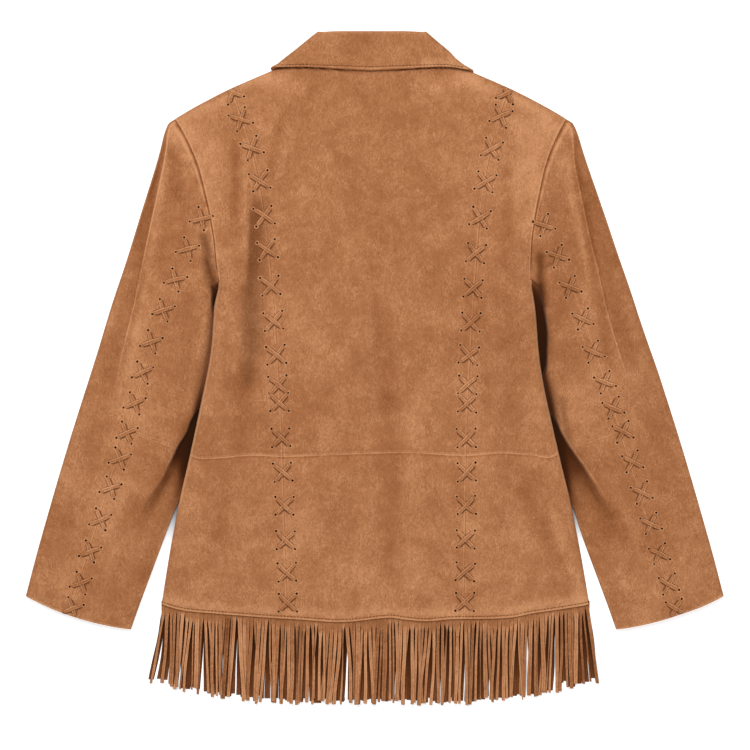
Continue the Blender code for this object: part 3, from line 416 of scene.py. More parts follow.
def sleeve_point(s, v):
    """Plan of the sleeve: s is 0 on its inner edge, 0.5 on the laced seam and 1 on its outer edge."""
    s, v = np.broadcast_arrays(np.asarray(s, dtype=float), np.asarray(v, dtype=float))
    inside = s < 0.5
    u = np.where(inside, 2.0 * s, 2.0 * s - 1.0)[..., None]

    def ruled(at):
        laced = sleeve_line(SLEEVE_LACED, at, ELBOW_DIP)
        near = np.where(inside[..., None], sleeve_line(SLEEVE_INNER, at), laced)
        far = np.where(inside[..., None], laced, sleeve_line(SLEEVE_OUTER, at))
        return mix(near, far, u)

    def share(laced):
        return np.where(inside, 2.0 * s * laced, mix(laced, 1.0, 2.0 * s - 1.0))

    top = armhole(share(LACED_AT_ARMHOLE)) - ruled(np.zeros_like(v))
    end = cuff(share(LACED_AT_CUFF)) - ruled(np.ones_like(v))
    return ruled(v) + top * (1.0 - v)[..., None] + end * v[..., None]


# ---------------------------------------------------------------- heights of the outer faces
def front_height(x, y):
    """Middle of the front panels: on the surface, lifted over the sleeves and the collar's ends."""
    beside = smooth((LIFT_TOP[0] - y) / LIFT_TOP[1]) * smooth((y - LIFT_END[0]) / LIFT_END[1])
    inside = read(EDGE, y) - x
    over_sleeve = SLEEVE_LIFT * beside * smooth((LIFT_REACH[0] - inside) / LIFT_REACH[1])
    past = COLLAR_SLOPE[1] * (y - COLLAR_CORNER[1] - COLLAR_SLOPE[0] * (x - COLLAR_CORNER[0]))
    over_collar = COLLAR_LIFT * smooth((past + COLLAR_REACH[0]) / COLLAR_REACH[1])
    return BED + np.maximum(over_sleeve, over_collar)


def back_top(x, y, side):
    """Outer face of the back without its seams: rounded at the free edges and lofted between them."""
    beside = read(EDGE, y) - x + SEAMED * smooth((y - ARMPIT_Y + 12.0) / 40.0)
    below = (top_y(np.maximum(x, NECK_HALF), NECK_Y) - y) * SHOULDER_SLANT
    below = below + SEAMED * smooth((COLLAR_WIDTH - x) / 30.0)
    free = np.maximum(np.minimum(beside, below), 0.0)
    rise = ROLL_SHARE * bulge(free / SIDE_ROLL) + (1.0 - ROLL_SHARE) * smooth(free / SIDE_REACH)
    low = front_height(x, y) + BED
    signed = side * x
    swell = folds(BACK_FOLDS, signed, y) + creases(BACK_CREASES, signed, y)
    swell = swell + 0.9 * wander(signed, y, 70.0, 3) + 0.35 * wander(signed, y, 26.0, 4)
    return mix(low, read(BACK_LOFT, y) + BED, rise) + swell * smooth(free / SIDE_REACH * 1.6)


def near_ridge(point, v, side):
    """How far a point is from the sleeve's outer edge, and past the long ridge beside that edge."""
    from_outer = np.linalg.norm(sleeve_point(1.0, v) - point, axis=-1)
    return from_outer, from_outer - read(RIDGE[side], point[..., 1])


def edge_shade(x, y, side):
    """Shade that the body's free edge casts on the sleeve beside it."""
    beside = np.array(sorted(EDGE_SHADE[side])).T
    depth, reach, full_to = (np.interp(y, beside[0], beside[k]) for k in (1, 2, 3))
    past = x - read(EDGE, y)
    gone = smooth((np.clip(past, 0.0, None) - full_to) / reach / 1.3)
    return depth * (1.0 - gone) * smooth((past + 8.0) / 4.0)


def sleeve_top(s, v, side, point):
    """Outer face of the sleeve's upper layer without its seams, its wear and painted light, and the depth of
    its painted shade.
    """
    x, y = point[..., 0], point[..., 1]
    world = side * x
    from_outer, past = near_ridge(point, v, side)
    edge, full = SUEDE + 2.0 * read(OUTER_FOLD, y), read(SLEEVE_LOFT, y) + BED
    slope = np.minimum(from_outer / read(RIDGE[side], y), 1.0)
    fades = smooth((y + 40.0) / 90.0)
    height = mix(mix(edge, full, slope ** 0.72), mix(edge, full, slope ** 0.95), fades)
    height = height + profile(past, RIDGE_FORM) * fades
    swell = folds(SLEEVE_FOLDS, world, y) + creases(SLEEVE_CREASES, world, y)
    swell = swell + 0.8 * wander(world, y, 60.0, 5) + 0.35 * wander(world, y, 22.0, 6)
    loose = smooth(from_outer / 22.0)
    height = height + swell * loose

    # the ridge gets a painted highlight and the cloth outside it painted shade, most on the left upper arm
    upper_arm = smooth((y - 110.0) / 60.0) * (side < 0)
    outside = smooth(-past / (3.0 - upper_arm))
    wear_and_painted_light = (0.9 + 0.5 * upper_arm) * bell(past, 1.3) * fades - (0.60 + 0.45 * upper_arm) * outside * fades
    # swells are painted paler and troughs darker, as light and shade on the form
    wear_and_painted_light = wear_and_painted_light + 0.35 * np.clip(swell, -1.0, 1.0) * loose

    # the step down from the elbow's fold to the shelf beside the body
    inward = read(STEP[side], y) - x
    step_width = np.interp(y, (-165.0, -150.0, -128.0, -110.0, -95.0), (9.0, 8.0, 5.5, 3.5, STEP_WIDTH))
    opening = smooth((ARMPIT_Y + 3.0 - y) / 15.0)
    drop = 1.0 - (1.0 - smooth(1.0 - inward / step_width)) * opening
    live_top = smooth((112.0 - y) / 40.0)
    live = smooth((y + 168.0) / 40.0) * live_top
    shelf = read(SHELF, y) + BED - 1.2 * bell(inward - step_width - 1.0, 2.5) * live
    height = mix(shelf, height - 1.7 * bell(inward, 5.5) * live, drop)
    # a painted highlight along the fold's edge on the right arm
    wear_and_painted_light = wear_and_painted_light + 0.6 * bell(inward + 1.2, 1.2) * live * smooth((-40.0 - y) / 20.0) * (side > 0)

    # painted shade in the hollow under the fold, under the fold's lip, beside the body's free edge and along
    # the listed lines
    low = 1.0 - drop
    soft = smooth((inward + 2.2) / (step_width + 3.0)) * opening
    low = mix(low, np.maximum(low, soft), smooth((y + 50.0) / 40.0))
    beyond = np.clip(np.clip(inward - step_width, 0.0, None) - 3.0, 0.0, None)
    deep = low * np.maximum(polyline(HOLLOW[side], y), polyline(FOLD_SHADE, y) * bell(beyond, 6.0))
    deep = 1.0 - (1.0 - deep) * (1.0 - edge_shade(x, y, side))
    lip = 0.34 * bell(inward, 5.0) * smooth((y + 130.0) / 60.0) * live_top * drop
    deep = np.maximum(np.maximum(deep, lip), shades(SLEEVE_SHADES, world, y))

    # the sleeve closes at its inner fold and meets the back at the armhole
    from_inner = np.linalg.norm(point - sleeve_point(0.0, v), axis=-1)
    height = mix(SUEDE + 2.0 * read(INNER_FOLD, y), height, smooth((from_inner - 3.0) / 8.0))
    share = np.where(s < 0.5, 2.0 * s * LACED_AT_ARMHOLE, mix(LACED_AT_ARMHOLE, 1.0, 2.0 * s - 1.0))
    seam = armhole(share)
    joined = mix(0.020, 0.1, smooth(from_inner / 30.0))
    return mix(back_top(seam[..., 0], seam[..., 1], side), height, smooth(v / joined)), wear_and_painted_light, deep


# ---------------------------------------------------------------- making meshes
def grid_faces(rows, cols, closed=False):
    r = np.arange(rows - 1)[:, None]
    c = np.arange(cols if closed else cols - 1)[None, :]
    a, b = r * cols + c, r * cols + (c + 1) % cols
    return np.stack([a, a + cols, b + cols, b], -1).reshape(-1, 4)


def make_mesh(name, points, faces, ridge=None, flat=False, deep=None):
    mesh = bpy.data.meshes.new(name)
    places = np.asarray(points).reshape(-1, 3) * MM
    places[:, 2] = np.maximum(places[:, 2], 0.0)
    mesh.from_pydata(places.tolist(), [], [[int(i) for i in face] for face in faces])
    if not flat:
        mesh.polygons.foreach_set("use_smooth", np.ones(len(mesh.polygons), dtype=bool))
    # the ridge attribute carries wear with painted light and shade; the deep attribute carries painted shade
    for attribute, values in (("ridge", ridge), ("deep", deep)):
        if values is not None:
            mesh.attributes.new(attribute, "FLOAT", "POINT").data.foreach_set("value", np.ravel(values))
    mesh.update()
    return mesh


def add_piece(mesh, nodes=(), finishes=()):
    """A scene piece named as its mesh, in the one body, standing for the given CAD nodes."""
    for finish in finishes:
        mesh.materials.append(finish)
    made = bpy.data.objects.new(mesh.name, mesh)
    bpy.context.scene.collection.objects.link(made)
    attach(made, "root")
    if nodes:
        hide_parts(*nodes)
    return made


def unit(vectors):
    return vectors / np.maximum(np.linalg.norm(vectors, axis=-1, keepdims=True), 1e-9)


def grid_normals(points):
    return unit(np.cross(np.gradient(points, axis=1), np.gradient(points, axis=0)))


def turned_in(points, radius, depth, upward):
    """Rows that carry a panel's last row round a rolled edge and back under it."""
    along = unit(points[-1] - points[-2])
    normal = grid_normals(points[-12:]) * upward
    rows = []
    for i in range(1, 7):
        turn = math.pi * i / 6
        rows.append(points[-1] + along * radius * math.sin(turn)
                    - normal[-1] * radius * (1.0 - math.cos(turn)))
    reach = np.linalg.norm(points[-12:] - points[-1], axis=-1).mean(axis=1)
    for back in range(2, 12):
        rows.append(points[-1 - back] - normal[-1 - back] * (2.0 * radius + 0.2))
        if reach[-1 - back] > depth:
            break
    return np.concatenate([points, np.array(rows)])


# ---------------------------------------------------------------- materials
class Graph:
    """A new material's nodes, with a short way to add one and to feed its sockets."""

    def __init__(self, name, roughness):
        self.material = bpy.data.materials.new(name)
        self.material.use_nodes = True
        self.nodes = self.material.node_tree.nodes
        self.shader = self.nodes["Principled BSDF"]
        self.feed(self.shader.inputs, {"Roughness": roughness, "Specular IOR Level": 0.10})

    def feed(self, sockets, values):
        """Links sockets to other nodes' outputs, or sets them to plain values."""
        for key, value in values.items():
            if isinstance(value, bpy.types.NodeSocket):
                self.material.node_tree.links.new(value, sockets[key])
            else:
                sockets[key].default_value = value

    def add(self, kind, output, inputs, **settings):
        node = self.nodes.new("ShaderNode" + kind)
        for key, value in settings.items():
            setattr(node, key, value)
        self.feed(node.inputs, inputs)
        return node.outputs[output]

    def place(self):
        return self.add("TexCoord", "Object", {})

    def attribute(self, name):
        return self.add("Attribute", "Fac", {}, attribute_name=name)

    def math(self, operation, a, b, clamp=False):
        return self.add("Math", "Value", {0: a, 1: b}, operation=operation, use_clamp=clamp)

    def colors(self, factor, low, high):
        """Mix of two colours."""
        node = self.nodes.new("ShaderNodeMix")
        node.data_type = "RGBA"
        sockets = [socket for socket in node.inputs if socket.type == "RGBA"]
        self.feed(sockets, {0: low, 1: high})
        self.feed(node.inputs, {"Factor": factor})
        return [socket for socket in node.outputs if socket.type == "RGBA"][0]


# The suede's noises: size in mm, detail, roughness, stretch of the nap, turn, distortion and shift.
CLOUDS, CLOUD_SHARE = (75.0, 3.0, 0.55, 1.0, 0.0, 0.6, 0.0), 0.50
NAP, NAP_SHARE = (22.0, 4.0, 0.55, 1.0, 0.0, 1.0, 0.0), 0.40
MOTTLE, MOTTLE_SHARE = (5.0, 3.0, 0.6, 0.6, 0.6, 1.6, 0.0), 0.30
GRAIN, GRAIN_SHARE = (2.2, 3.0, 0.75, 0.6, -0.6, 2.0, 0.0), 0.80
PATCHES = (22.0, 2.0, 0.5, 1.0, 0.0, 0.0, 3.0)
HAIRS = ((4.6, 1.0, 0.5, 0.55, 0.7, 1.8, 1.0), (4.0, 1.0, 0.5, 0.55, -0.8, 1.8, 2.0))
HAIR_THINNESS, HAIR_SHARE, WEAR_AND_PAINTED_LIGHT_SHARE, MIDDLE_TONE = 9.0, 0.30, 0.30, 0.43
# Colours of painted shade: a dark brown, and near black where the shade is deepest.
SHADE_COLOR, DARKEST_COLOR = (0.082, 0.017, 0.0015, 1.0), (0.022, 0.0065, 0.0012, 1.0)


def suede(name, dark, base, light, hairs=1.0):
    """Napped leather: clouds, brushed mottling and short pale fibres, with wear and painted light and shade
    from the form.
    """
    graph = Graph(name, 0.96)
    place = graph.place()

    def noise(size, detail, rough, stretch, turn, distort, shift):
        turned = graph.add("Mapping", "Vector", {
            "Vector": place, "Location": (shift, shift * 0.7, shift * 1.3),
            "Rotation": (0.0, 0.0, turn), "Scale": (1.0, stretch, 1.0)})
        return graph.add("TexNoise", "Fac", {"Vector": turned, "Scale": 1000.0 / size, "Detail": detail,
                                             "Roughness": rough, "Distortion": distort})

    def fibres(field):
        """Thin winding pale lines where a noise crosses its middle value."""
        off = graph.math("ABSOLUTE", graph.math("SUBTRACT", noise(*field), 0.5), 0.0)
        return graph.math("SUBTRACT", 1.0, graph.math("MULTIPLY", off, HAIR_THINNESS), True)

    mottle, grain = noise(*MOTTLE), noise(*GRAIN)
    pale = graph.math("MULTIPLY", graph.math("ADD", *(fibres(field) for field in HAIRS)),
                      graph.math("MULTIPLY", noise(*PATCHES), hairs))
    total = MIDDLE_TONE
    for source, share in ((noise(*CLOUDS), CLOUD_SHARE), (noise(*NAP), NAP_SHARE),
                          (mottle, MOTTLE_SHARE), (grain, GRAIN_SHARE)):
        part = graph.math("MULTIPLY", graph.math("SUBTRACT", source, 0.5), share)
        total = graph.math("ADD", part, total)
    total = graph.math("ADD", graph.math("MULTIPLY", pale, HAIR_SHARE), total)
    # the ridge attribute adds wear with painted highlights and painted shade
    total = graph.math("ADD", graph.math("MULTIPLY", graph.attribute("ridge"), WEAR_AND_PAINTED_LIGHT_SHARE), total)
    ramp = graph.nodes.new("ShaderNodeValToRGB")
    graph.feed(ramp.inputs, {"Fac": total})
    first, last = ramp.color_ramp.elements
    first.position, first.color = 0.05, (*dark, 1.0)
    last.position, last.color = 0.95, (*light, 1.0)
    ramp.color_ramp.elements.new(0.5).color = (*base, 1.0)

    # painted shade from the deep attribute, first toward dark brown and then toward near black
    deep = graph.attribute("deep")
    shaded = graph.colors(graph.math("MULTIPLY", deep, 1.15), ramp.outputs["Color"], SHADE_COLOR)
    darkest = graph.math("SUBTRACT", graph.math("MULTIPLY", deep, 2.6), 1.6)
    color = graph.colors(darkest, shaded, DARKEST_COLOR)
    coarse = graph.add("Bump", "Normal", {"Strength": 0.35, "Distance": 0.0012, "Height": mottle})
    fine = graph.add("Bump", "Normal", {"Strength": 0.5, "Distance": 0.0004, "Normal": coarse,
                                        "Height": graph.math("ADD", grain, pale)})
    graph.feed(graph.shader.inputs, {
        "Base Color": color, "Normal": fine, "Sheen Weight": 0.08, "Sheen Roughness": 0.45,
        "Sheen Tint": (1.0, 0.76, 0.56, 1.0)})
    return graph.material


def plain(name, color, roughness=0.9):
    graph = Graph(name, roughness)
    graph.feed(graph.shader.inputs, {"Base Color": (*color, 1.0)})
    return graph.material


def shade(color, factor):
    return tuple(c * factor for c in color)


# The suede's colours: the ends of its ramp show the nap's own mottling and the painted light and shade.
SUEDE_COLOR, DARK_NAP_AND_SHADE, PALE_NAP_AND_LIGHT = (0.372, 0.148, 0.058), (0.225, 0.073, 0.022), (0.60, 0.285, 0.135)
suede_with_painted_light = suede("suede_nap_light_and_shade", DARK_NAP_AND_SHADE, SUEDE_COLOR, PALE_NAP_AND_LIGHT)
collar_with_painted_light = suede("collar_nap_light_and_shade", DARK_NAP_AND_SHADE, SUEDE_COLOR, PALE_NAP_AND_LIGHT)
fringe_with_painted_light = suede("fringe_nap_light_and_shade", (0.12, 0.038, 0.011), shade(SUEDE_COLOR, 0.97), (0.62, 0.30, 0.145), 0.6)
thong_with_painted_light = suede("thong_nap_light_and_shade", (0.16, 0.048, 0.013), shade(SUEDE_COLOR, 1.04), (0.68, 0.34, 0.17), 0.6)
thread_finish = plain("thread", (0.13, 0.045, 0.016))
pale_thread_finish = plain("pale_thread", (0.46, 0.215, 0.10))
hole_painted_shadow = plain("hole_shadow", (0.012, 0.006, 0.003), 1.0)


# ---------------------------------------------------------------- the back
def steps(*stops):
    """Places from stop to stop: each stop is (place, spacing up to it)."""
    found = [stops[0][0]]
    for place, spacing in stops[1:]:
        count = max(int(round(abs(place - found[-1]) / spacing)), 1)
        found += list(np.linspace(found[-1], place, count + 1)[1:])
    return np.array(found)


def waved_hem(x, signed):
    return hem_y(x) + read(HEM_WAVE, signed)


def body_plan(u, upper, t):
    """Plan of the back at u across (1 on the laced seam, 2 on the edge) and t down a tier."""
    a, sign = np.abs(u), np.sign(u)
    inner, out = a <= 1.0, np.clip(a - 1.0, 0.0, 1.0)
    seam_at, edge_at = 107.0, 215.0
    waist = read(WAIST_SEAM, sign * np.where(inner, a * seam_at, mix(seam_at, edge_at, out)))
    seam_waist, edge_waist = read(WAIST_SEAM, sign * seam_at), read(WAIST_SEAM, sign * edge_at)
    off_line = waist - mix(seam_waist, edge_waist, out)
    if upper:
        seam_top = float(top_y(np.array(SEAM_TOP), NECK_Y))
        seam_y, edge_y = mix(seam_top, seam_waist, t), mix(SHOULDER_Y, edge_waist, t)
        centre_y = mix(top_y(np.minimum(a, 1.0) * SEAM_TOP, BACK_NECK_Y), waist, t)
        shoulder = top_y(mix(SEAM_TOP, SHOULDER_HALF, out), NECK_Y) - mix(seam_top, SHOULDER_Y, out)
        line = mix(seam_y, edge_y, out) + shoulder * (1.0 - t) ** 3 + off_line * t
    else:
        seam_x_end = LACED_SEAM[-1][1]
        x_end = np.where(inner, a * seam_x_end, mix(seam_x_end, HEM_HALF, out))
        end, seam_end = waved_hem(x_end, sign * x_end), waved_hem(seam_x_end, sign * seam_x_end)
        seam_y, edge_y = mix(seam_waist, seam_end, t), mix(edge_waist, hem_y(HEM_HALF), t)
        centre_y = mix(waist, end, t)
        line = mix(seam_y, edge_y, out) + off_line * (1.0 - t)
        line = line + (end - mix(seam_end, hem_y(HEM_HALF), out)) * t
    seam_x, edge_x = read(LACED_SEAM, seam_y), read(EDGE, edge_y)
    x = np.where(inner, a * seam_x, mix(seam_x, edge_x, out))
    from_seam = np.where(inner, (a - 1.0) * seam_x, out * (edge_x - seam_x))
    from_edge = np.where(inner, 99.0, (1.0 - out) * (edge_x - seam_x))
    return x, np.where(inner, centre_y, line), from_seam, from_edge


def under_collar(x, y):
    """Shade under the collar's edge, less at its ends."""
    edge = read([(row[5], row[6]) for row in COLLAR[:5]], x)
    return np.where(x < 118.0, bell(y - edge + 1.0, 1.3), 0.0) * (0.55 + 0.45 * smooth((105.0 - x) / 30.0))


def back_tier(us, ts, upper):
    """Points of the back above or below its waist seam, with its wear and painted light, and its painted
    shade.
    """
    u, t = np.meshgrid(us, ts)
    x, y, from_seam, from_edge = body_plan(u, upper, t)
    side = np.where(u < 0.0, -1.0, 1.0)
    signed = side * x
    above = y - read(WAIST_SEAM, signed)
    laced = smooth((np.abs(u) - 0.6) / 0.2)
    z = back_top(x, y, side)
    z = z + 0.45 * wander(signed, y, 13.0, 9) * bell(from_seam, 15.0) * smooth((np.abs(u) - 0.5) / 0.3)
    z = z + 0.30 * wander(signed, above * 0.35, 8.0, 11) * bell(above - 2.0, 9.0)
    z = z + profile(from_seam, SEAM_FORM) * laced + profile(above, WAIST_FORM)
    z = z - np.where(above < 0.0, WAIST_DROP * np.exp(above / WAIST_REACH), 0.0)
    uneven = 0.6 + 0.4 * wander(signed, above * 0.1, 16.0, 14)
    across = from_seam * side * np.sign(np.abs(u))
    # pale and dark lines along the laced seam, the waist seam and the hem: wear with painted highlights and
    # painted shade
    wear_and_painted_light = profile(across, BACK_SEAM_LIGHT_AND_SHADE) * laced * (0.8 + 0.4 * wander(signed, y, 20.0, 15))
    wear_and_painted_light = wear_and_painted_light + uneven * profile(above, WAIST_LINES) + profile(above, WAIST_SHADE)
    if not upper:
        to_hem = y - waved_hem(x, signed)
        z = z + profile(to_hem, HEM_FORM)
        z = z + 0.30 * wander(signed, to_hem * 0.3, 9.0, 12) * bell(to_hem - 3.0, 9.0)
        wear_and_painted_light = wear_and_painted_light + profile(to_hem, HEM_LIGHT_AND_SHADE)
    sewn = smooth((y - ARMPIT_Y) / 12.0)
    z = z + sewn * profile(from_edge, ARMHOLE_FORM)
    # painted shade in the armhole seam with a pale edge beside it, and painted light and shade over wide
    # areas
    wear_and_painted_light = wear_and_painted_light + sewn * profile(from_edge, ARMHOLE_LIGHT_AND_SHADE) + folds(BACK_LIGHT_AND_SHADE, signed, y)
    # a painted highlight along the body's free edge, stronger on the left, the side the light comes from
    rim = np.where(side < 0.0, 2.6, 0.9) * smooth((y + 175.0) / 40.0)
    wear_and_painted_light = wear_and_painted_light + rim * bell(from_edge - 1.2, 1.2) * (1.0 - sewn)
    # painted shade under the collar's edge and in deep troughs
    deep = np.maximum(0.92 * under_collar(x, y), shades(BACK_SHADES, signed, y))
    return np.stack([read(LEAN, y) + signed + settle(signed, y), y, z], -1), wear_and_painted_light, deep


def make_back():
    half = steps((0.0, 1), (0.955, 0.0225), (1.0, 0.0052), (1.05, 0.0062), (1.9, 0.026), (1.96, 0.015),
                 (2.0, 0.0055))
    us = np.concatenate([-half[:0:-1], half])
    upper_t = steps((0.0, 1), (0.012, 0.0016), (0.975, 0.0056), (1.0, 0.0018))
    lower_t = steps((0.0, 1), (0.055, 0.0042), (0.955, 0.0130), (1.0, 0.0035))[1:]
    tiers = zip(back_tier(us, upper_t, True), back_tier(us, lower_t, False))
    points, wear_and_painted_light, deep = (np.concatenate(tier) for tier in tiers)
    points = turned_in(points, 0.8, 10.0, -1.0)
    wear_and_painted_light, deep = carried_on(wear_and_painted_light, len(points)), carried_on(deep, len(points))
    mesh = make_mesh("back_cloth", points, grid_faces(*points.shape[:2]), wear_and_painted_light, deep=deep)
    nodes = [f"back_{panel}_{tier}" for panel in ("centre", "left", "right") for tier in ("upper", "lower")]
    return add_piece(mesh, nodes, [suede_with_painted_light])


# ---------------------------------------------------------------- the sleeves
FOLD_POINTS = 7


def sleeve_world(point, z, side):
    lean = np.minimum(read(LEAN, point[..., 1]), 0.0)
    world = side * point[..., 0]
    apart = 1.9 * bell(point[..., 1] + 160.0, 24.0) * bell(world - 229.0, 16.0)
    return np.stack([lean + world + settle(world, point[..., 1]) + apart, point[..., 1], z], -1)


def rounded_fold(edge, toward, radius, going, side):
    """Points round a fold of the sleeve, between its upper and its lower layer."""
    inward, found = unit(toward - edge), []
    for i in range(1, FOLD_POINTS + 1):
        turn = going * math.pi * (0.5 - i / (FOLD_POINTS + 1))
        plan = edge + inward * (radius - radius * math.cos(turn))[:, None]
        found.append(sleeve_world(plan, radius * (1.0 + math.sin(turn)), side))
    return np.stack(found, 1)


def crossing(low, high, v, value):
    """Where along each row of the sleeve a value first turns positive."""
    tried = np.linspace(low, high, 140)
    found = value(sleeve_point(tried[None, :], v))
    at = np.where(found[:, -1] <= 0.0, found.shape[1] - 1, np.argmax(found > 0.0, axis=1))
    before, rows = np.maximum(at - 1, 0), np.arange(len(v))
    a, b = found[rows, before], found[rows, at]
    share = np.where(np.abs(b - a) > 1e-9, np.clip(-a / np.where(b == a, 1.0, b - a), 0.0, 1.0), 0.0)
    return mix(tried[before], tried[at], share)


def sleeve_columns(v, first, last, per_in, per_out, side):
    """Places across the sleeve's upper layer, close together at its step, laced seam and ridge."""
    step = crossing(0.0, 0.5, v, lambda point: point[..., 0] - read(STEP[side], point[..., 1]))
    crest = crossing(0.5, 1.0, v, lambda point: -near_ridge(point, v, side)[1])
    marks = [first, step - 4.5 * per_in, step + 3.0 * per_in, 0.5 - 6.0 * per_in, 0.5 + 6.0 * per_out,
             crest - 3.0 * per_out, crest + 3.0 * per_out, last]
    marks[1] = np.clip(marks[1], first + 3.0 * per_in, 0.5 - 20.0 * per_in)
    marks[2] = np.clip(marks[2], marks[1] + 6.0 * per_in, 0.5 - 12.0 * per_in)
    marks[5] = np.clip(marks[5], 0.5 + 9.0 * per_out, last - 4.0 * per_out)
    marks[6] = np.clip(marks[6], marks[5] + 0.6 * per_out, last - 0.6 * per_out)
    pieces = [mix(a[:, None], b[:, None], np.linspace(0.0, 1.0, n + 1)[None, :-1])
              for a, b, n in zip(marks, marks[1:], (7, 12, 24, 16, 18, 8, 14))]
    return np.concatenate(pieces + [last[:, None]], 1)


def make_sleeve(side, hand):
    vs = steps((0.0, 1), (0.012, 0.0015), (0.488, 0.0038), (0.512, 0.0014), (0.985, 0.0040), (1.0, 0.002))
    v = vs[:, None]
    inner, laced, outer = (sleeve_point(s, vs) for s in (0.0, 0.5, 1.0))
    in_radius, out_radius = read(INNER_FOLD, inner[:, 1]) + BED, read(OUTER_FOLD, outer[:, 1]) + BED
    per_in, per_out = (0.5 / np.linalg.norm(laced - edge, axis=-1) for edge in (inner, outer))
    first, last = in_radius * per_in, 1.0 - out_radius * per_out
    s = sleeve_columns(v, first, last, per_in, per_out, side)
    point = sleeve_point(s, v)
    world, y = side * point[..., 0], point[..., 1]
    z, wear_and_painted_light, deep = sleeve_top(s, np.broadcast_to(v, s.shape), side, point)
    from_seam = np.linalg.norm(point - laced[:, None], axis=-1) * np.sign(s - 0.5)
    length = np.linalg.norm(laced[-1] - laced[0])
    along, from_armhole, to_cuff = (v - 0.5) * length, v * length, (1.0 - v) * length
    shown = smooth((v - 0.004) / 0.01)
    z = z + profile(from_seam, SEAM_FORM) * shown + 0.45 * wander(world, y, 13.0, 10) * bell(from_seam, 15.0)
    z = z + profile(along, ELBOW_FORM) * smooth((-from_seam - 3.0) / 2.0) + profile(from_armhole, HEAD_FORM)
    pucker = wander(y, from_armhole * 0.22, 6.0, 21 + side)
    z = z + 0.5 * pucker * bell(from_armhole - 4.0, 8.0) + 0.3 * bell(to_cuff - 1.0, 1.0)
    # on the colour: wear with painted highlights and shade along the laced and elbow seams, painted shade in
    # the armhole seam with a painted highlight beside it on the upper arm, painted light and shade on the
    # puckers, a paler cuff edge, and painted light and shade over wide areas
    wear_and_painted_light = wear_and_painted_light + profile(from_seam * side, SLEEVE_SEAM_LIGHT_AND_SHADE) * shown
    wear_and_painted_light = wear_and_painted_light + profile(along, ELBOW_LIGHT_AND_SHADE) * smooth((-from_seam - 9.0) / 4.0)
    lit = smooth((y - 60.0) / 60.0)
    wear_and_painted_light = wear_and_painted_light + profile(from_armhole, HEAD_SHADE) + profile(from_armhole, HEAD_LIGHT) * lit
    wear_and_painted_light = wear_and_painted_light + 0.5 * pucker * bell(from_armhole - 4.0, 7.0) + 0.9 * bell(to_cuff - 0.6, 0.9)
    wear_and_painted_light = wear_and_painted_light + folds(SLEEVE_LIGHT_AND_SHADE, world, y)

    s_low = mix(last[:, None], first[:, None], np.linspace(0.0, 1.0, 22)[None, :])
    points = np.concatenate([
        sleeve_world(point, z, side), rounded_fold(outer, sleeve_point(0.8, vs), out_radius, 1.0, side),
        sleeve_world(sleeve_point(s_low, v), np.full(s_low.shape, 0.02), side),
        rounded_fold(inner, sleeve_point(0.2, vs), in_radius, -1.0, side)], 1)
    points[..., 0] -= 0.9 * side * bell(from_armhole, 0.8)
    points = turned_in(points, 0.7, 12.0, -side)
    hidden = np.zeros((len(vs), points.shape[1] - wear_and_painted_light.shape[1] - FOLD_POINTS))
    wear_and_painted_light = carried_on(np.concatenate([wear_and_painted_light, np.full((len(vs), FOLD_POINTS), -0.1), hidden], 1), len(points))
    deep = np.concatenate([deep, hidden, np.repeat(deep[:, :1], FOLD_POINTS, axis=1)], 1)
    faces = grid_faces(*points.shape[:2], closed=True)[:, ::-side]
    mesh = make_mesh(f"sleeve_{hand}_cloth", points, faces, wear_and_painted_light, deep=carried_on(deep, len(points)))
    return add_piece(mesh, [f"sleeve_top_{hand}", f"sleeve_under_{hand}_upper",
                                     f"sleeve_under_{hand}_lower"], [suede_with_painted_light])


# ---------------------------------------------------------------- walls: fronts and collar
def wall(points, thickness):
    """A closed wall round a middle surface, with rounded rims."""
    rows, cols = points.shape[:2]
    normal, half = grid_normals(points), thickness / 2.0
    leads = [unit(np.gradient(points, axis=axis)) for axis in (0, 1)]
    loop = [(r, 0, 1, -1) for r in range(rows)] + [(rows - 1, c, 0, 1) for c in range(1, cols)]
    loop += [(r, cols - 1, 1, 1) for r in range(rows - 2, -1, -1)]
    loop += [(0, c, 0, -1) for c in range(cols - 2, 0, -1)]
    faces = [tuple(f) for f in grid_faces(rows, cols)]
    faces += [tuple(f[::-1] + rows * cols) for f in grid_faces(rows, cols)]
    base, arcs, rim, ribs = 2 * rows * cols, 3, [], []
    for i, (r, c, axis, sign) in enumerate(loop):
        for k in range(1, arcs + 1):
            turn = math.pi * k / (arcs + 1)
            rim.append(points[r, c] + normal[r, c] * half * math.cos(turn)
                       + leads[axis][r, c] * sign * half * math.sin(turn))
        ribs.append([r * cols + c, *range(base + i * arcs, base + (i + 1) * arcs), (r + rows) * cols + c])
    for first, second in zip(ribs, ribs[1:] + ribs[:1]):
        faces += [(first[k], first[k + 1], second[k + 1], second[k]) for k in range(arcs + 1)]
    sheets = [(points + normal * half * sign).reshape(-1, 3) for sign in (1.0, -1.0)]
    return np.concatenate([*sheets, np.array(rim)]), faces


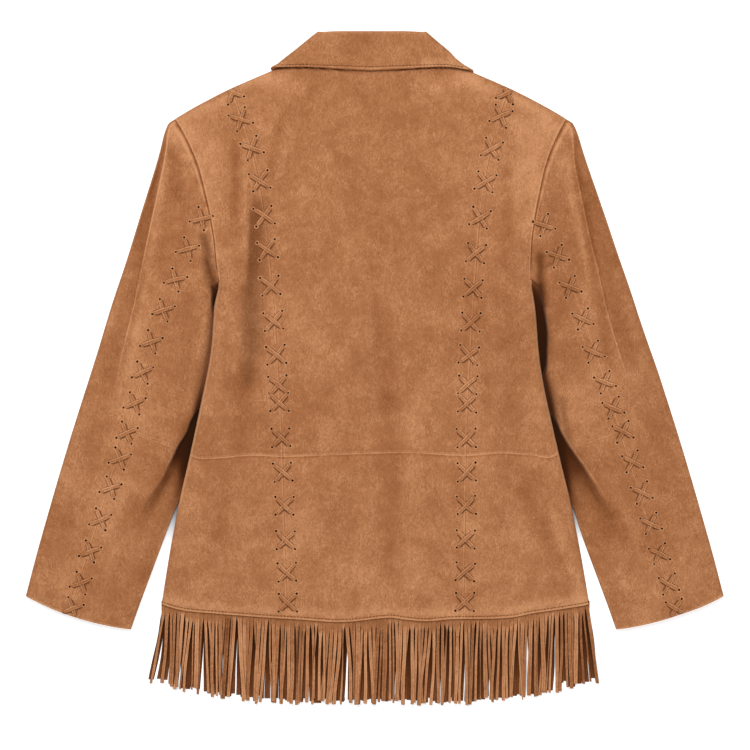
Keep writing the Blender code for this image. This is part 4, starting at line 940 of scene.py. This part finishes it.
def make_front(side, hand):
    u, t = np.meshgrid(np.concatenate([np.linspace(0.0, 0.90, 44), np.linspace(0.90, 1.0, 10)[1:]]),
                       np.linspace(0.0, 1.0, 118))
    bottom = float(hem_y(HEM_HALF))
    x = np.maximum(u * (read(EDGE, mix(SHOULDER_Y, bottom, t)) - 0.6), 0.75)
    hem_line = mix(HEM_Y, bottom, u)
    y = mix(top_y(u * SHOULDER_HALF, FRONT_NECK_Y), mix(FRONT_NECK_Y, SHOULDER_Y, u), smooth(t / 0.3))
    y = mix(y, hem_line, t) + (hem_y(u * HEM_HALF) - hem_line) * t
    points = np.stack([read(LEAN, y) + side * x + settle(side * x, y), y, front_height(x, y)], -1)
    mesh = make_mesh(f"front_{hand}_cloth", *wall(points, SUEDE))
    return add_piece(mesh, [f"front_{hand}"], [suede_with_painted_light])


def collar_stations():
    """Rows of the collar's table, filled in finely from the centre back (0) to a front end."""
    table = np.array(COLLAR, dtype=float)
    counts = (14, 14, 13, 5, 5, 5, 5, 9, 12, 12)
    places = np.concatenate([np.linspace(i, i + 1, n + 1)[:-1] for i, n in enumerate(counts)] + [[10.0]])
    rows = np.arange(len(table), dtype=float)
    return np.stack([read(list(zip(rows, table[:, k])), places) for k in range(7)], -1)


def make_collar():
    """The collar: its stand, its rounded roll and the fall with its stitched edge."""
    half = collar_stations()
    stations = np.concatenate([half[::-1], half[1:]])
    side = np.where(np.arange(len(stations)) < len(half) - 1, -1.0, 1.0)
    turn, neck, roll, edge = stations[:, 0], stations[:, 1:3], stations[:, 3:5], stations[:, 5:7]
    neck = neck + np.array([0.0, 0.3])
    angle = np.radians(turn)
    level, flat = np.sin(angle), np.cos(angle)
    slant = np.abs(unit(roll - edge))
    away = np.stack([slant[:, 1] * flat, slant[:, 0] * flat, level], -1)
    stand_z, fall_z = (STAND_MID + STAND_SPREAD * level)[:, None], (FALL_MID + FALL_SPREAD * level)[:, None]
    low, inner = np.concatenate([neck, stand_z], 1), np.concatenate([roll, stand_z], 1)
    hem = np.concatenate([edge, fall_z], 1)
    up = unit(inner - low)
    gap = np.abs(fall_z - stand_z) * np.abs(level)[:, None] + 2 * ROLL_RADIUS * flat[:, None]
    outer = inner + away * gap
    sections = [mix(low, inner, t) for t in np.linspace(0.0, 1.0, 10)[:-1]]
    rows_of_wear_and_painted_light = [np.zeros(len(low))] * len(sections)
    for t in np.linspace(0.0, math.pi, 9):
        sections.append(mix(inner, outer, 0.5 - 0.5 * math.cos(t)) + up * ROLL_RADIUS * math.sin(t))
        # the roll is painted paler, as a highlight
        rows_of_wear_and_painted_light.append(np.full(len(low), 0.35))
    length = np.linalg.norm(hem - outer, axis=-1)
    back_side = smooth(turn / 90.0 * 2.0 - 1.0)
    for t in np.concatenate([np.linspace(0.0, 0.86, 22)[1:], np.linspace(0.86, 1.0, 12)[1:]]):
        place, to_edge = mix(outer, hem, t), (1.0 - t) * length
        x, y = place[:, 0] * side, place[:, 1]
        lift = profile(to_edge, COLLAR_FORM) + 0.25 * wander(x, y, 14.0, 32) * math.sin(math.pi * t)
        lift = lift + 0.9 * wander(x, y, 45.0, 31) * math.sin(math.pi * min(t, 0.9))
        sections.append(place + np.stack([0.0 * lift, 0.0 * lift, lift * back_side], -1))
        # by the edge: a painted highlight on the roll, painted shade in the stitch groove and at the very
        # edge; over wide areas, painted light and shade
        painted_light_wear_and_tone = profile(to_edge, COLLAR_EDGE_LIGHT_AND_SHADE) - 0.8 * (to_edge < 0.3)
        rows_of_wear_and_painted_light.append(painted_light_wear_and_tone + folds(COLLAR_LIGHT_AND_SHADE, x, y) * back_side)
    points = np.stack(sections, 1)
    points[..., 0] = read(LEAN, points[..., 1]) + side[:, None] * points[..., 0]
    points[..., 1] -= 3.2 * smooth((points[..., 0] - 88.0) / 28.0)
    drawn = [polyline(COLLAR_DRAW[end], points[..., 1]) for end in (-1, 1)]
    points[..., 0] += np.where(side[:, None] < 0.0, *drawn) * smooth((np.abs(points[..., 0]) - 25.0) / 40.0)
    verts, faces = wall(points, COLLAR_CLOTH)
    wear_and_painted_light = np.stack(rows_of_wear_and_painted_light, 1).ravel()
    ridge = np.concatenate([wear_and_painted_light, wear_and_painted_light, np.zeros(len(verts) - 2 * len(wear_and_painted_light))])
    mesh = make_mesh("collar_cloth", verts, faces, ridge)
    return add_piece(mesh, ["collar"], [collar_with_painted_light]), points


back = make_back()
sleeves = {side: make_sleeve(side, hand) for side, hand in ((-1, "left"), (1, "right"))}
fronts = {side: make_front(side, hand) for side, hand in ((-1, "left"), (1, "right"))}
collar, collar_points = make_collar()


# ---------------------------------------------------------------- what lies on the cloth
class Ground:
    """The highest point of some pieces at a place."""

    def __init__(self, *pieces):
        depsgraph = bpy.context.evaluated_depsgraph_get()
        self.trees = [BVHTree.FromObject(piece, depsgraph) for piece in pieces]

    def __call__(self, x, y, missing=0.0):
        start = Vector((x * MM, y * MM, 0.1))
        hits = [tree.ray_cast(start, Vector((0.0, 0.0, -1.0)))[0] for tree in self.trees]
        heights = [hit.z / MM for hit in hits if hit is not None]
        return max(heights) if heights else missing


ground = Ground(back, sleeves[-1], sleeves[1])
collar_ground = Ground(collar)
THONG_HALF, THONG_STEPS, HOLE_LEAD = 2.2, 28, 1.1
# Section of a thong from its shaded side: across, up, wear with painted light, and painted shade. The
# wear and light make its rolled edges pale, most on the lit side, and its shaded side wall dark; the feet
# lie on the cloth beside the thong and carry its painted shadow.
THONG_SECTION = (
    (-1.74, 0.0, 0.0, 0.0), (-1.38, 0.16, 0.0, 0.48), (-1.05, 0.26, 0.0, 0.78), (-1.0, 0.80, -0.5, 0.40),
    (-0.85, 1.28, 0.8, 0.0), (-0.58, 1.12, 0.1, 0.0), (0.0, 1.02, -0.25, 0.0), (0.54, 1.12, 0.2, 0.0),
    (0.84, 1.32, 1.5, 0.0), (1.0, 0.80, 0.4, 0.0), (1.05, 0.24, 0.0, 0.55), (1.32, 0.0, 0.0, 0.0),
)
# Rings of a hole's rim from the inside: radius, as a share of the hole's, and height.
HOLE_RIM, HOLE_SIDES = ((0.98, 0.10), (1.25, 0.32), (1.65, 0.16), (2.0, -0.15)), 12


def thong(start, end, over, rng):
    """A flat thong from one hole to another, lifted at its middle where it lies over another; its feet on the
    cloth carry its painted shadow.
    """
    run = end - start
    length = np.linalg.norm(run)
    run = run / length
    cross = np.array([-run[1], run[0]])
    # the shaded side lies below, or toward the garment's middle on a steep thong
    steep = abs(run[1]) > 0.85 and abs(start[0]) > 165.0
    flip = 1 if (-cross[0] * np.sign(start[0]) if steep else -cross[1]) < 0.0 else -1
    bow, lean, strength = rng.uniform(-0.7, 0.7), rng.uniform(-0.18, 0.18), rng.uniform(0.8, 1.15)
    rows, ridges, deeps = [], [], []
    for t in np.arange(THONG_STEPS + 1) / THONG_STEPS:
        centre = start + run * length * t + cross * bow * math.sin(math.pi * t)
        from_end = min(t, 1.0 - t) * length
        width = THONG_HALF * mix(0.55, 1.0, float(smooth(from_end / 3.2)))
        width *= 1.0 + 0.07 * math.sin(9.0 * t + lean * 20.0)
        sink = -1.5 * (1.0 - float(smooth(from_end / 1.8)))
        hump = (1.05 if over else 0.0) * float(bell((t - 0.5) * length, 3.6))
        known = [ground(*(centre + cross * width * a), missing=None) for a in (-1.0, 0.0, 1.0)]
        if all(z is None for z in known):
            continue
        level = max(z for z in known if z is not None)
        left, right = (level if z is None else max(z, level - 0.9) for z in known[::2])
        shown = float(smooth((from_end - 0.6) / 3.0))
        row = []
        for a, h, _, _ in THONG_SECTION:
            foot = abs(a) > 1.01
            a = flip * (math.copysign(1.02 + (abs(a) - 1.02) * (0.2 + 0.8 * shown), a) if foot else a)
            place = centre + cross * width * a
            if foot:
                z = max(ground(*place, missing=level - 0.5), level - 1.2) + h + 0.16 + 0.8 * hump
            else:
                z = mix(left, right, (a + 1.0) / 2.0) + h + sink + hump + lean * a
            row.append((*place, z))
        wear_and_painted_light = strength * (0.4 + 0.6 * float(smooth(from_end / 4.0)))
        rows.append(row[::flip])
        ridges.append([painted_light_wear_and_tone * wear_and_painted_light for _, _, painted_light_wear_and_tone, _ in THONG_SECTION][::flip])
        deeps.append([dark * shown for _, _, _, dark in THONG_SECTION][::flip])
    return np.array(rows), np.array(ridges), np.array(deeps)


def circle(place, radius, sides):
    turns = 2 * math.pi * np.arange(sides) / sides
    return [(place[0] + radius * math.cos(turn), place[1] + radius * math.sin(turn)) for turn in turns]


def ring_faces(rings, sides):
    found = []
    for low in range(0, (rings - 1) * sides, sides):
        for i in range(sides):
            j = (i + 1) % sides
            found.append([low + i, low + j, low + sides + j, low + sides + i])
    return found


def hole(place, rng):
    """Points of a punched hole: a dark disc painted as the shadow inside it, and the rings of the slightly
    raised rim round it.
    """
    radius = rng.uniform(1.22, 1.46)
    level = max(ground(*place), ground(place[0] + 1.0, place[1]), ground(place[0], place[1] + 1.0))
    disc = [(*spot, level + 0.12) for spot in circle(place, radius, HOLE_SIDES)]
    rim = [(*spot, max(ground(*spot, missing=level), level - 0.6) + lift)
           for share, lift in HOLE_RIM for spot in circle(place, radius * share, HOLE_SIDES)]
    return disc, rim


class Builder:
    """Collects faces with their points, materials, wear and painted light, and painted shade into one mesh.
    """

    def __init__(self):
        self.points, self.faces, self.kinds, self.ridges, self.deeps = [], [], [], [], []

    def grid(self, rows, ridges, kind=0, deeps=None):
        base = len(self.points)
        count, cols = rows.shape[:2]
        self.points += rows.reshape(-1, 3).tolist()
        self.ridges += np.ravel(ridges).tolist()
        self.deeps += [0.0] * (count * cols) if deeps is None else np.ravel(deeps).tolist()
        for face in grid_faces(count, cols):
            self.faces.append([base + int(i) for i in face])
            self.kinds.append(kind)
        for r in range(count - 1):
            a, b = base + r * cols, base + r * cols + cols - 1
            self.faces.append([a, b, b + cols, a + cols])
            self.kinds.append(kind)
        self.faces.append([base + i for i in range(cols)])
        self.faces.append([base + (count - 1) * cols + i for i in range(cols - 1, -1, -1)])
        self.kinds += [kind, kind]

    def add(self, points, faces, kind=0, ridge=0.0):
        base = len(self.points)
        self.points += [tuple(p) for p in points]
        self.ridges += [ridge] * len(points)
        self.deeps += [0.0] * len(points)
        for face in faces:
            self.faces.append([base + i for i in face])
            self.kinds.append(kind)

    def mesh(self, name, finishes, flat=False):
        mesh = make_mesh(name, self.points, self.faces, self.ridges, flat, self.deeps)
        for finish in finishes:
            mesh.materials.append(finish)
        mesh.polygons.foreach_set("material_index", self.kinds)
        return mesh


def laced(centres, turning, rng):
    """Each cross's place with the way its seam runs there, turned a little further than the seam."""
    found = []
    for i, centre in enumerate(centres):
        before, after = centres[max(i - 1, 0)], centres[min(i + 1, len(centres) - 1)]
        angle = math.atan2(after[0] - before[0], before[1] - after[1]) * turning
        angle += rng.uniform(-0.05, 0.05)
        found.append((np.array(centre), np.array([math.sin(angle), -math.cos(angle)])))
    return found


def past_edge(point, body):
    """How far a lacing point lies outside the shoulder line or the cuff."""
    if body:
        x = abs(point[0] - float(read(LEAN, point[1])))
        return point[1] - float(top_y(np.array(x), NECK_Y)) + 1.0
    inner, _, down = cuff_directions()
    return float((np.array([abs(point[0]), point[1]]) - inner) @ down) - CUFF_BOW + 0.2


def thong_end(start, end, body):
    """The thong's end just inside its hole, or on the cloth's edge where it would pass that."""
    if past_edge(end, body) <= 0.0:
        return end - (end - start) / np.linalg.norm(end - start) * HOLE_LEAD
    low, high = 0.0, 1.0
    for _ in range(24):
        middle = (low + high) / 2.0
        if past_edge(mix(start, end, middle), body) > 0.0:
            high = middle
        else:
            low = middle
    return mix(start, end, low)


def make_lacing(name, centres, side, body, node, seed):
    rng = np.random.default_rng(seed)
    build = Builder()
    half_across, half_along = (10.6, 10.4) if body else (9.8, 9.8)
    rising, falling = ((1, 1), (-1, -1)), ((1, -1), (-1, 1))
    under, top = (rising, falling) if (side < 0) == body else (falling, rising)
    for centre, along in laced(centres, 1.4 if body or side < 0 else 1.1, rng):
        across = np.array([along[1], -along[0]])
        corner = {}
        for a, b in ((-1, -1), (-1, 1), (1, -1), (1, 1)):
            jitter = rng.uniform(-0.5, 0.5, 2)
            corner[a, b] = centre + across * (half_across * a) + along * (half_along * b) + jitter
        for pair, over in ((under, False), (top, True)):
            start, end = corner[pair[0]], corner[pair[1]]
            rows, ridges, dark = thong(thong_end(end, start, body), thong_end(start, end, body), over, rng)
            build.grid(rows, ridges, deeps=dark)
        for place in corner.values():
            if past_edge(place, body) <= -1.5:
                disc, rim = hole(place, rng)
                build.add(disc, [list(range(HOLE_SIDES))], kind=1)
                faces = [face[::-1] for face in ring_faces(len(HOLE_RIM), HOLE_SIDES)]
                build.add(rim, faces, kind=2, ridge=0.85)
    return add_piece(build.mesh(name, (thong_with_painted_light, hole_painted_shadow, suede_with_painted_light)), [node])


for side, hand in ((-1, "left"), (1, "right")):
    for at, centres, body, seed in (("back", BACK_CENTRES, True, 41), ("sleeve", SLEEVE_CENTRES, False, 51)):
        node = f"lacing_{at}_{hand}"
        make_lacing(f"{node}_thongs", centres[side], side, body, node, seed + side)


# ---------------------------------------------------------------- stitching
STITCH, STITCH_SPACE, STITCH_SIDES = 2.5, 1.5, 6
# A stitch from end to end: place, share of its radius and height.
STITCH_FORM = ((0.0, 0.45, -0.30), (0.2, 1.0, 0.0), (0.8, 1.0, 0.0), (1.0, 0.45, -0.30))


def stitch_line(build, path, surface, radius=0.34, kind=0):
    """Short thread stitches laid end to end along a plan path."""
    lengths = np.concatenate([[0.0], np.cumsum(np.linalg.norm(np.diff(path, axis=0), axis=-1))])
    sides = [2 * math.pi * k / STITCH_SIDES for k in range(STITCH_SIDES)]
    last = (len(STITCH_FORM) - 1) * STITCH_SIDES
    at = 0.6
    while at + STITCH < lengths[-1]:
        start, end = np.stack([np.interp([at, at + STITCH], lengths, path[:, k]) for k in (0, 1)], -1)
        at += STITCH + STITCH_SPACE
        run = unit(end - start)
        cross = np.array([-run[1], run[0]])
        points = []
        for t, size, drop in STITCH_FORM:
            centre = mix(start, end, t)
            z = surface(*centre, missing=None)
            if z is not None:
                points += [(*(centre + cross * math.cos(turn) * radius * size),
                            z + drop + radius * size * (1.0 + math.sin(turn))) for turn in sides]
        if len(points) == last + STITCH_SIDES:
            ends = [list(range(STITCH_SIDES))[::-1], list(range(last, last + STITCH_SIDES))]
            build.add(points, ring_faces(len(STITCH_FORM), STITCH_SIDES) + ends, kind=kind)


def on_back(x, y):
    return np.stack([read(LEAN, y) + x, y], -1)


def make_stitches():
    build = Builder()
    xs = np.linspace(-212.0, 212.0, 220)
    stitch_line(build, on_back(xs, read(WAIST_SEAM, xs) + 2.9), ground, kind=1, radius=0.26)
    xs = np.linspace(-246.5, 246.5, 240)
    stitch_line(build, on_back(xs, waved_hem(xs, xs) + 2.6), ground)
    body = add_piece(build.mesh("back_stitching", (thread_finish, pale_thread_finish)))
    build = Builder()
    edge = collar_points[:, -1]
    path = (edge + unit(collar_points[:, -6] - edge) * 3.3)[:, :2]
    keep = [i for i in range(len(path)) if abs(path[i, 0]) < 108.0 and edge[i, 2] > 10.0]
    stitch_line(build, path[keep], collar_ground)
    return body, add_piece(build.mesh("collar_stitching", (thread_finish,)))


back_stitching, collar_stitching = make_stitches()


# ---------------------------------------------------------------- fringe
# Groups of strips lying darker or paler: x, amount, half width.
FRINGE_TONES = (
    (-221, 0.6, 5), (-201, -0.5, 4), (-172, -0.7, 5), (-141, -0.5, 4), (-81, -0.5, 3), (-67, 0.8, 8),
    (-37, 0.7, 5), (5, -0.9, 7), (83, 0.7, 5), (141, -0.7, 4), (166, 0.6, 4), (184, -0.6, 4),
    (201, 0.6, 4), (214, -0.7, 4), (243, -0.8, 5),
)
# Where the strips part, to show the strips below them or the floor: x.
DARK_GAPS = (-201, -169, -141, -110, -80, -33, -8, 5, 24, 60, 112, 141, 163, 184, 214, 245)
FRINGE_GAPS = (-198, -178, -162, -33, 76, 99, 178, 207, 240.5)
# Section of a strip: across, as a share of its half width, height, and painted light and shade, darker
# on its sides and paler on its top corners.
STRIP_SECTION = ((-1.0, -0.60, -2.4), (-1.0, 0.30, -1.6), (-0.74, 0.62, 0.7), (0.0, 0.48, -0.1),
                 (0.74, 0.62, 0.7), (1.0, 0.30, -1.6), (1.0, -0.60, -2.4))
STRAND_ROWS = np.concatenate([(0.0, 0.03, 0.043, 0.055, 0.07, 0.09), np.linspace(0.115, 1.0, 22)])
TWISTS, TWIST_CHANCES = (0.0, 0.18, -0.18, 0.6, -0.6, 1.35, -1.35), (0.20, 0.19, 0.19, 0.14, 0.14, 0.07, 0.07)


def strand(root_x, tip, top, slit, pitch, width, start, level, rng, twisty):
    """One cut strip: from under the hem, free below the slit, with its own sway, twist and level."""
    t = STRAND_ROWS
    y = mix(top, tip[1], t)
    below = top - slit - y
    free = smooth(below / 10.0)
    fall = np.clip(below / (top - slit - tip[1]), 0.0, 1.0)
    phase = rng.uniform(0.0, 2 * math.pi, 3)
    sway = rng.uniform(-2.1, 2.1) * np.sin(phase[0] + 3.6 * t)
    sway = sway + rng.uniform(-0.6, 0.6) * np.sin(phase[1] + 8.0 * t)
    x = root_x + (tip[0] - root_x) * fall ** 1.05 + sway * free * fall
    half = np.where(below < 0.0, pitch / 2, mix(pitch / 2, width / 2, smooth(below / 5.0)))
    half = half * (1.0 + 0.07 * np.sin(phase[2] + 9.0 * t) * free)
    rolling = 0.8 * np.sin(phase[2] + 5.0 * t) * free * min(level / 3.0, 1.0)
    z = mix(start, level, smooth((t - 0.04) / 0.5)) + rolling
    twist = twisty * free * (0.35 + 0.65 * np.sin(phase[1] + 2.6 * t) ** 2)
    across, height = (np.array([row[k] for row in STRIP_SECTION])[None, :] for k in (0, 1))
    across, cos, sin = across * half[:, None], np.cos(twist)[:, None], np.sin(twist)[:, None]
    up = z[:, None] + across * sin + height * cos
    up = up + np.maximum(0.05 - up.min(axis=1, keepdims=True), 0.0)
    across = x[:, None] + across * cos - height * sin
    return np.stack([across, np.broadcast_to(y[:, None], up.shape), up], -1)


def strand_tip(x, share, below, drift):
    """Where along the fringe a strip's tip lies: fanned out at the ends and pushed away from gaps."""
    share, out = abs(share), math.copysign(FRINGE_SPREAD, share)
    fan = 0.75 * share ** 14 + 0.25 * share ** 3
    if not below:
        fan = 0.5 * share ** 18 + (0.75 if out < 0.0 else 1.1) * share ** 70 + 0.14 * share ** 3
    tip = x + out * fan + drift
    for gaps, push, reach in ((FRINGE_GAPS, 2.6, 8.0), (() if below else DARK_GAPS, 1.9, 6.0)):
        for gap in gaps:
            tip += math.copysign(push, x - gap) * math.exp(-abs(x - gap) / reach)
    limit = HEM_HALF + FRINGE_SPREAD - 2.5
    return float(np.clip(tip, -limit, limit))


def make_fringe(name, ends, count, seed, below, nodes):
    """A row of strips; those below belong to the fronts, shorter and painted darker, as in the shade of the
    back's.
    """
    rng = np.random.default_rng(seed)
    build = Builder()
    marks = np.linspace(ends[0], ends[1], count + 1)
    marks[1:-1] += rng.uniform(-0.27, 0.27, count - 1) * (ends[1] - ends[0]) / count
    shorter, lift_top, loose = (3.0, -0.6, 1.0) if below else (0.0, 4.0, 2.6)
    section_painted_light = np.array([painted_light_wear_and_tone for _, _, painted_light_wear_and_tone in STRIP_SECTION])[None, :]
    drift = 0.0
    for left, right in zip(marks * HEM_HALF, marks[1:] * HEM_HALF):
        x, pitch = (left + right) / 2, right - left
        share = x / HEM_HALF
        hem = float(waved_hem(x, x))
        top = hem + lift_top
        tip_y = FRINGE_TIP_Y + FRINGE_TIP_RISE * abs(share) ** 3 + shorter
        tip_y = tip_y + min(abs(rng.normal(0.0, 3.4)), 9.0) + 3.0 * float(bell(share, 0.25))
        drift = 0.25 * drift + rng.normal(0.0, loose)
        tip_x, lean = strand_tip(x, share, below, drift), float(read(LEAN, hem))
        twisty = rng.choice(TWISTS, p=TWIST_CHANCES)
        slit = lift_top + rng.uniform(2.0, 13.0)
        if below:
            width, start, level = pitch * rng.uniform(1.12, 1.35), 0.7, rng.uniform(0.65, 1.1)
            # the front strips get a darker tone, as painted shade under the back's strips
            tone_and_painted_shade, twisty = rng.uniform(-0.9, -0.2), 0.0
        else:
            width, level = pitch * rng.uniform(0.62, 0.98), rng.uniform(2.2, 7.0)
            edge = np.array(min(abs(x), HEM_HALF))
            start = max(float(back_top(edge, hem_y(edge), np.array(math.copysign(1.0, x)))) - 1.9, 2.0)
            tone_and_painted_shade = rng.uniform(-0.25, 0.7)
            tone_and_painted_shade += sum(amount * float(bell(x - at, wide)) for at, amount, wide in FRINGE_TONES)
        tip = (tip_x + lean * 0.3, tip_y)
        rows = strand(x + lean, tip, top, slit, pitch, width, start, level, rng, twisty)
        from_hem = np.clip(hem - rows[:, 0, 1], 0.0, None)
        # painted shadow just under the hem; the front strips are painted in shade, less toward their tips
        under_hem = 0.72 * np.exp(-(from_hem / 1.5) ** 2) + 0.16 * np.exp(-from_hem / 9.0)
        dark = mix(1.0, 0.56, STRAND_ROWS) if below else under_hem
        cut = smooth((top - slit - rows[:, 0, 1] + 1.0) / 3.0)[:, None]
        painted_light_wear_and_tone = tone_and_painted_shade * (0.3 + 0.7 * cut) + section_painted_light * cut
        build.grid(rows, painted_light_wear_and_tone, deeps=np.broadcast_to(dark[:, None], painted_light_wear_and_tone.shape))
    return add_piece(build.mesh(name, (fringe_with_painted_light,), flat=True), nodes)


fringe_back = make_fringe("fringe_back_strips", (-1.0, 1.0), 112, 61, False, ["fringe_back"])
fringe_left = make_fringe("fringe_front_left_strips", (-1.0, -0.002), 48, 62, True, ["fringe_front_left"])
fringe_right = make_fringe("fringe_front_right_strips", (0.002, 1.0), 48, 63, True, ["fringe_front_right"])


# ---------------------------------------------------------------- floor, light and camera
FLOOR_GLOW, FLOOR_HALF, FLOOR_COLOR = 0.42, 3.0, (0.90, 0.90, 0.90)
# Spots of painted shadow on the floor: x, y and how far the shade reaches.
GAP_SHADES = ((-226.0, -148.0, 80.0), (230.5, -150.0, 74.0))


def shaded_paper():
    """White paper with a painted shadow in the two narrow gaps between the body and the sleeves."""
    graph = Graph("floor_paper", 1.0)
    clear, place = None, graph.place()
    for x, y, reach in GAP_SHADES:
        away = graph.add("VectorMath", "Value", {0: place, 1: (x * MM, y * MM, 0.0)}, operation="DISTANCE")
        spread = graph.add("MapRange", "Result", {"Value": away, "From Max": reach * MM},
                           interpolation_type="SMOOTHSTEP")
        clear = spread if clear is None else graph.math("MULTIPLY", clear, spread)
    graph.feed(graph.shader.inputs, {
        "Base Color": graph.colors(clear, (0.10, 0.125, 0.15, 1.0), (*FLOOR_COLOR, 1.0)),
        "Emission Color": (1.0, 1.0, 1.0, 1.0),
        "Emission Strength": graph.math("MULTIPLY", clear, FLOOR_GLOW)})
    return graph.material


def add_floor():
    mesh = bpy.data.meshes.new("studio_floor")
    corners = [(x * FLOOR_HALF, y * FLOOR_HALF) for x, y in ((-1, -1), (1, -1), (1, 1), (-1, 1))]
    spots = [(*corner, z) for z in (0.0, -0.004) for corner in corners]
    mesh.from_pydata(spots, [], [(0, 1, 2, 3), (7, 6, 5, 4)])
    mesh.materials.append(shaded_paper())
    mesh.materials.append(plain("floor_underside", FLOOR_COLOR, 1.0))
    mesh.polygons[1].material_index = 1
    made = bpy.data.objects.new("studio_floor", mesh)
    made.location.z = -0.0002
    bpy.context.scene.collection.objects.link(made)


def add_light(name, place, aim, size, power, color):
    data = bpy.data.lights.new(name, "AREA")
    data.shape = "DISK"
    data.size = size
    data.energy = power
    data.color = color
    made = bpy.data.objects.new(name, data)
    made.location = place
    made.rotation_mode = "QUATERNION"
    made.rotation_quaternion = (Vector(aim) - Vector(place)).to_track_quat("-Z", "Y")
    bpy.context.scene.collection.objects.link(made)


add_floor()
add_light("key", (-0.45, 1.35, 2.8), (0.0, 0.0, 0.0), 0.8, 60.0, (1.0, 0.985, 0.97))
add_light("fill", (0.5, -1.3, 2.7), (0.0, 0.0, 0.0), 2.2, 28.5, (0.98, 0.99, 1.0))
world = bpy.data.worlds.new("studio")
world.use_nodes = True
world.node_tree.nodes["Background"].inputs["Color"].default_value = (1.0, 1.0, 1.0, 1.0)
world.node_tree.nodes["Background"].inputs["Strength"].default_value = 0.34
bpy.context.scene.world = world
bpy.context.scene.view_settings.view_transform = "Standard"
bpy.context.scene.view_settings.look = "None"

CAMERA_HEIGHT = 3.0
FIELD = 0.87
camera_data = bpy.data.cameras.new("camera")
camera_data.lens = camera_data.sensor_width * (CAMERA_HEIGHT - 0.012) / FIELD
camera = bpy.data.objects.new("camera", camera_data)
camera.location = (0.00174, -0.00667, CAMERA_HEIGHT)
bpy.context.scene.collection.objects.link(camera)
bpy.context.scene.camera = camera
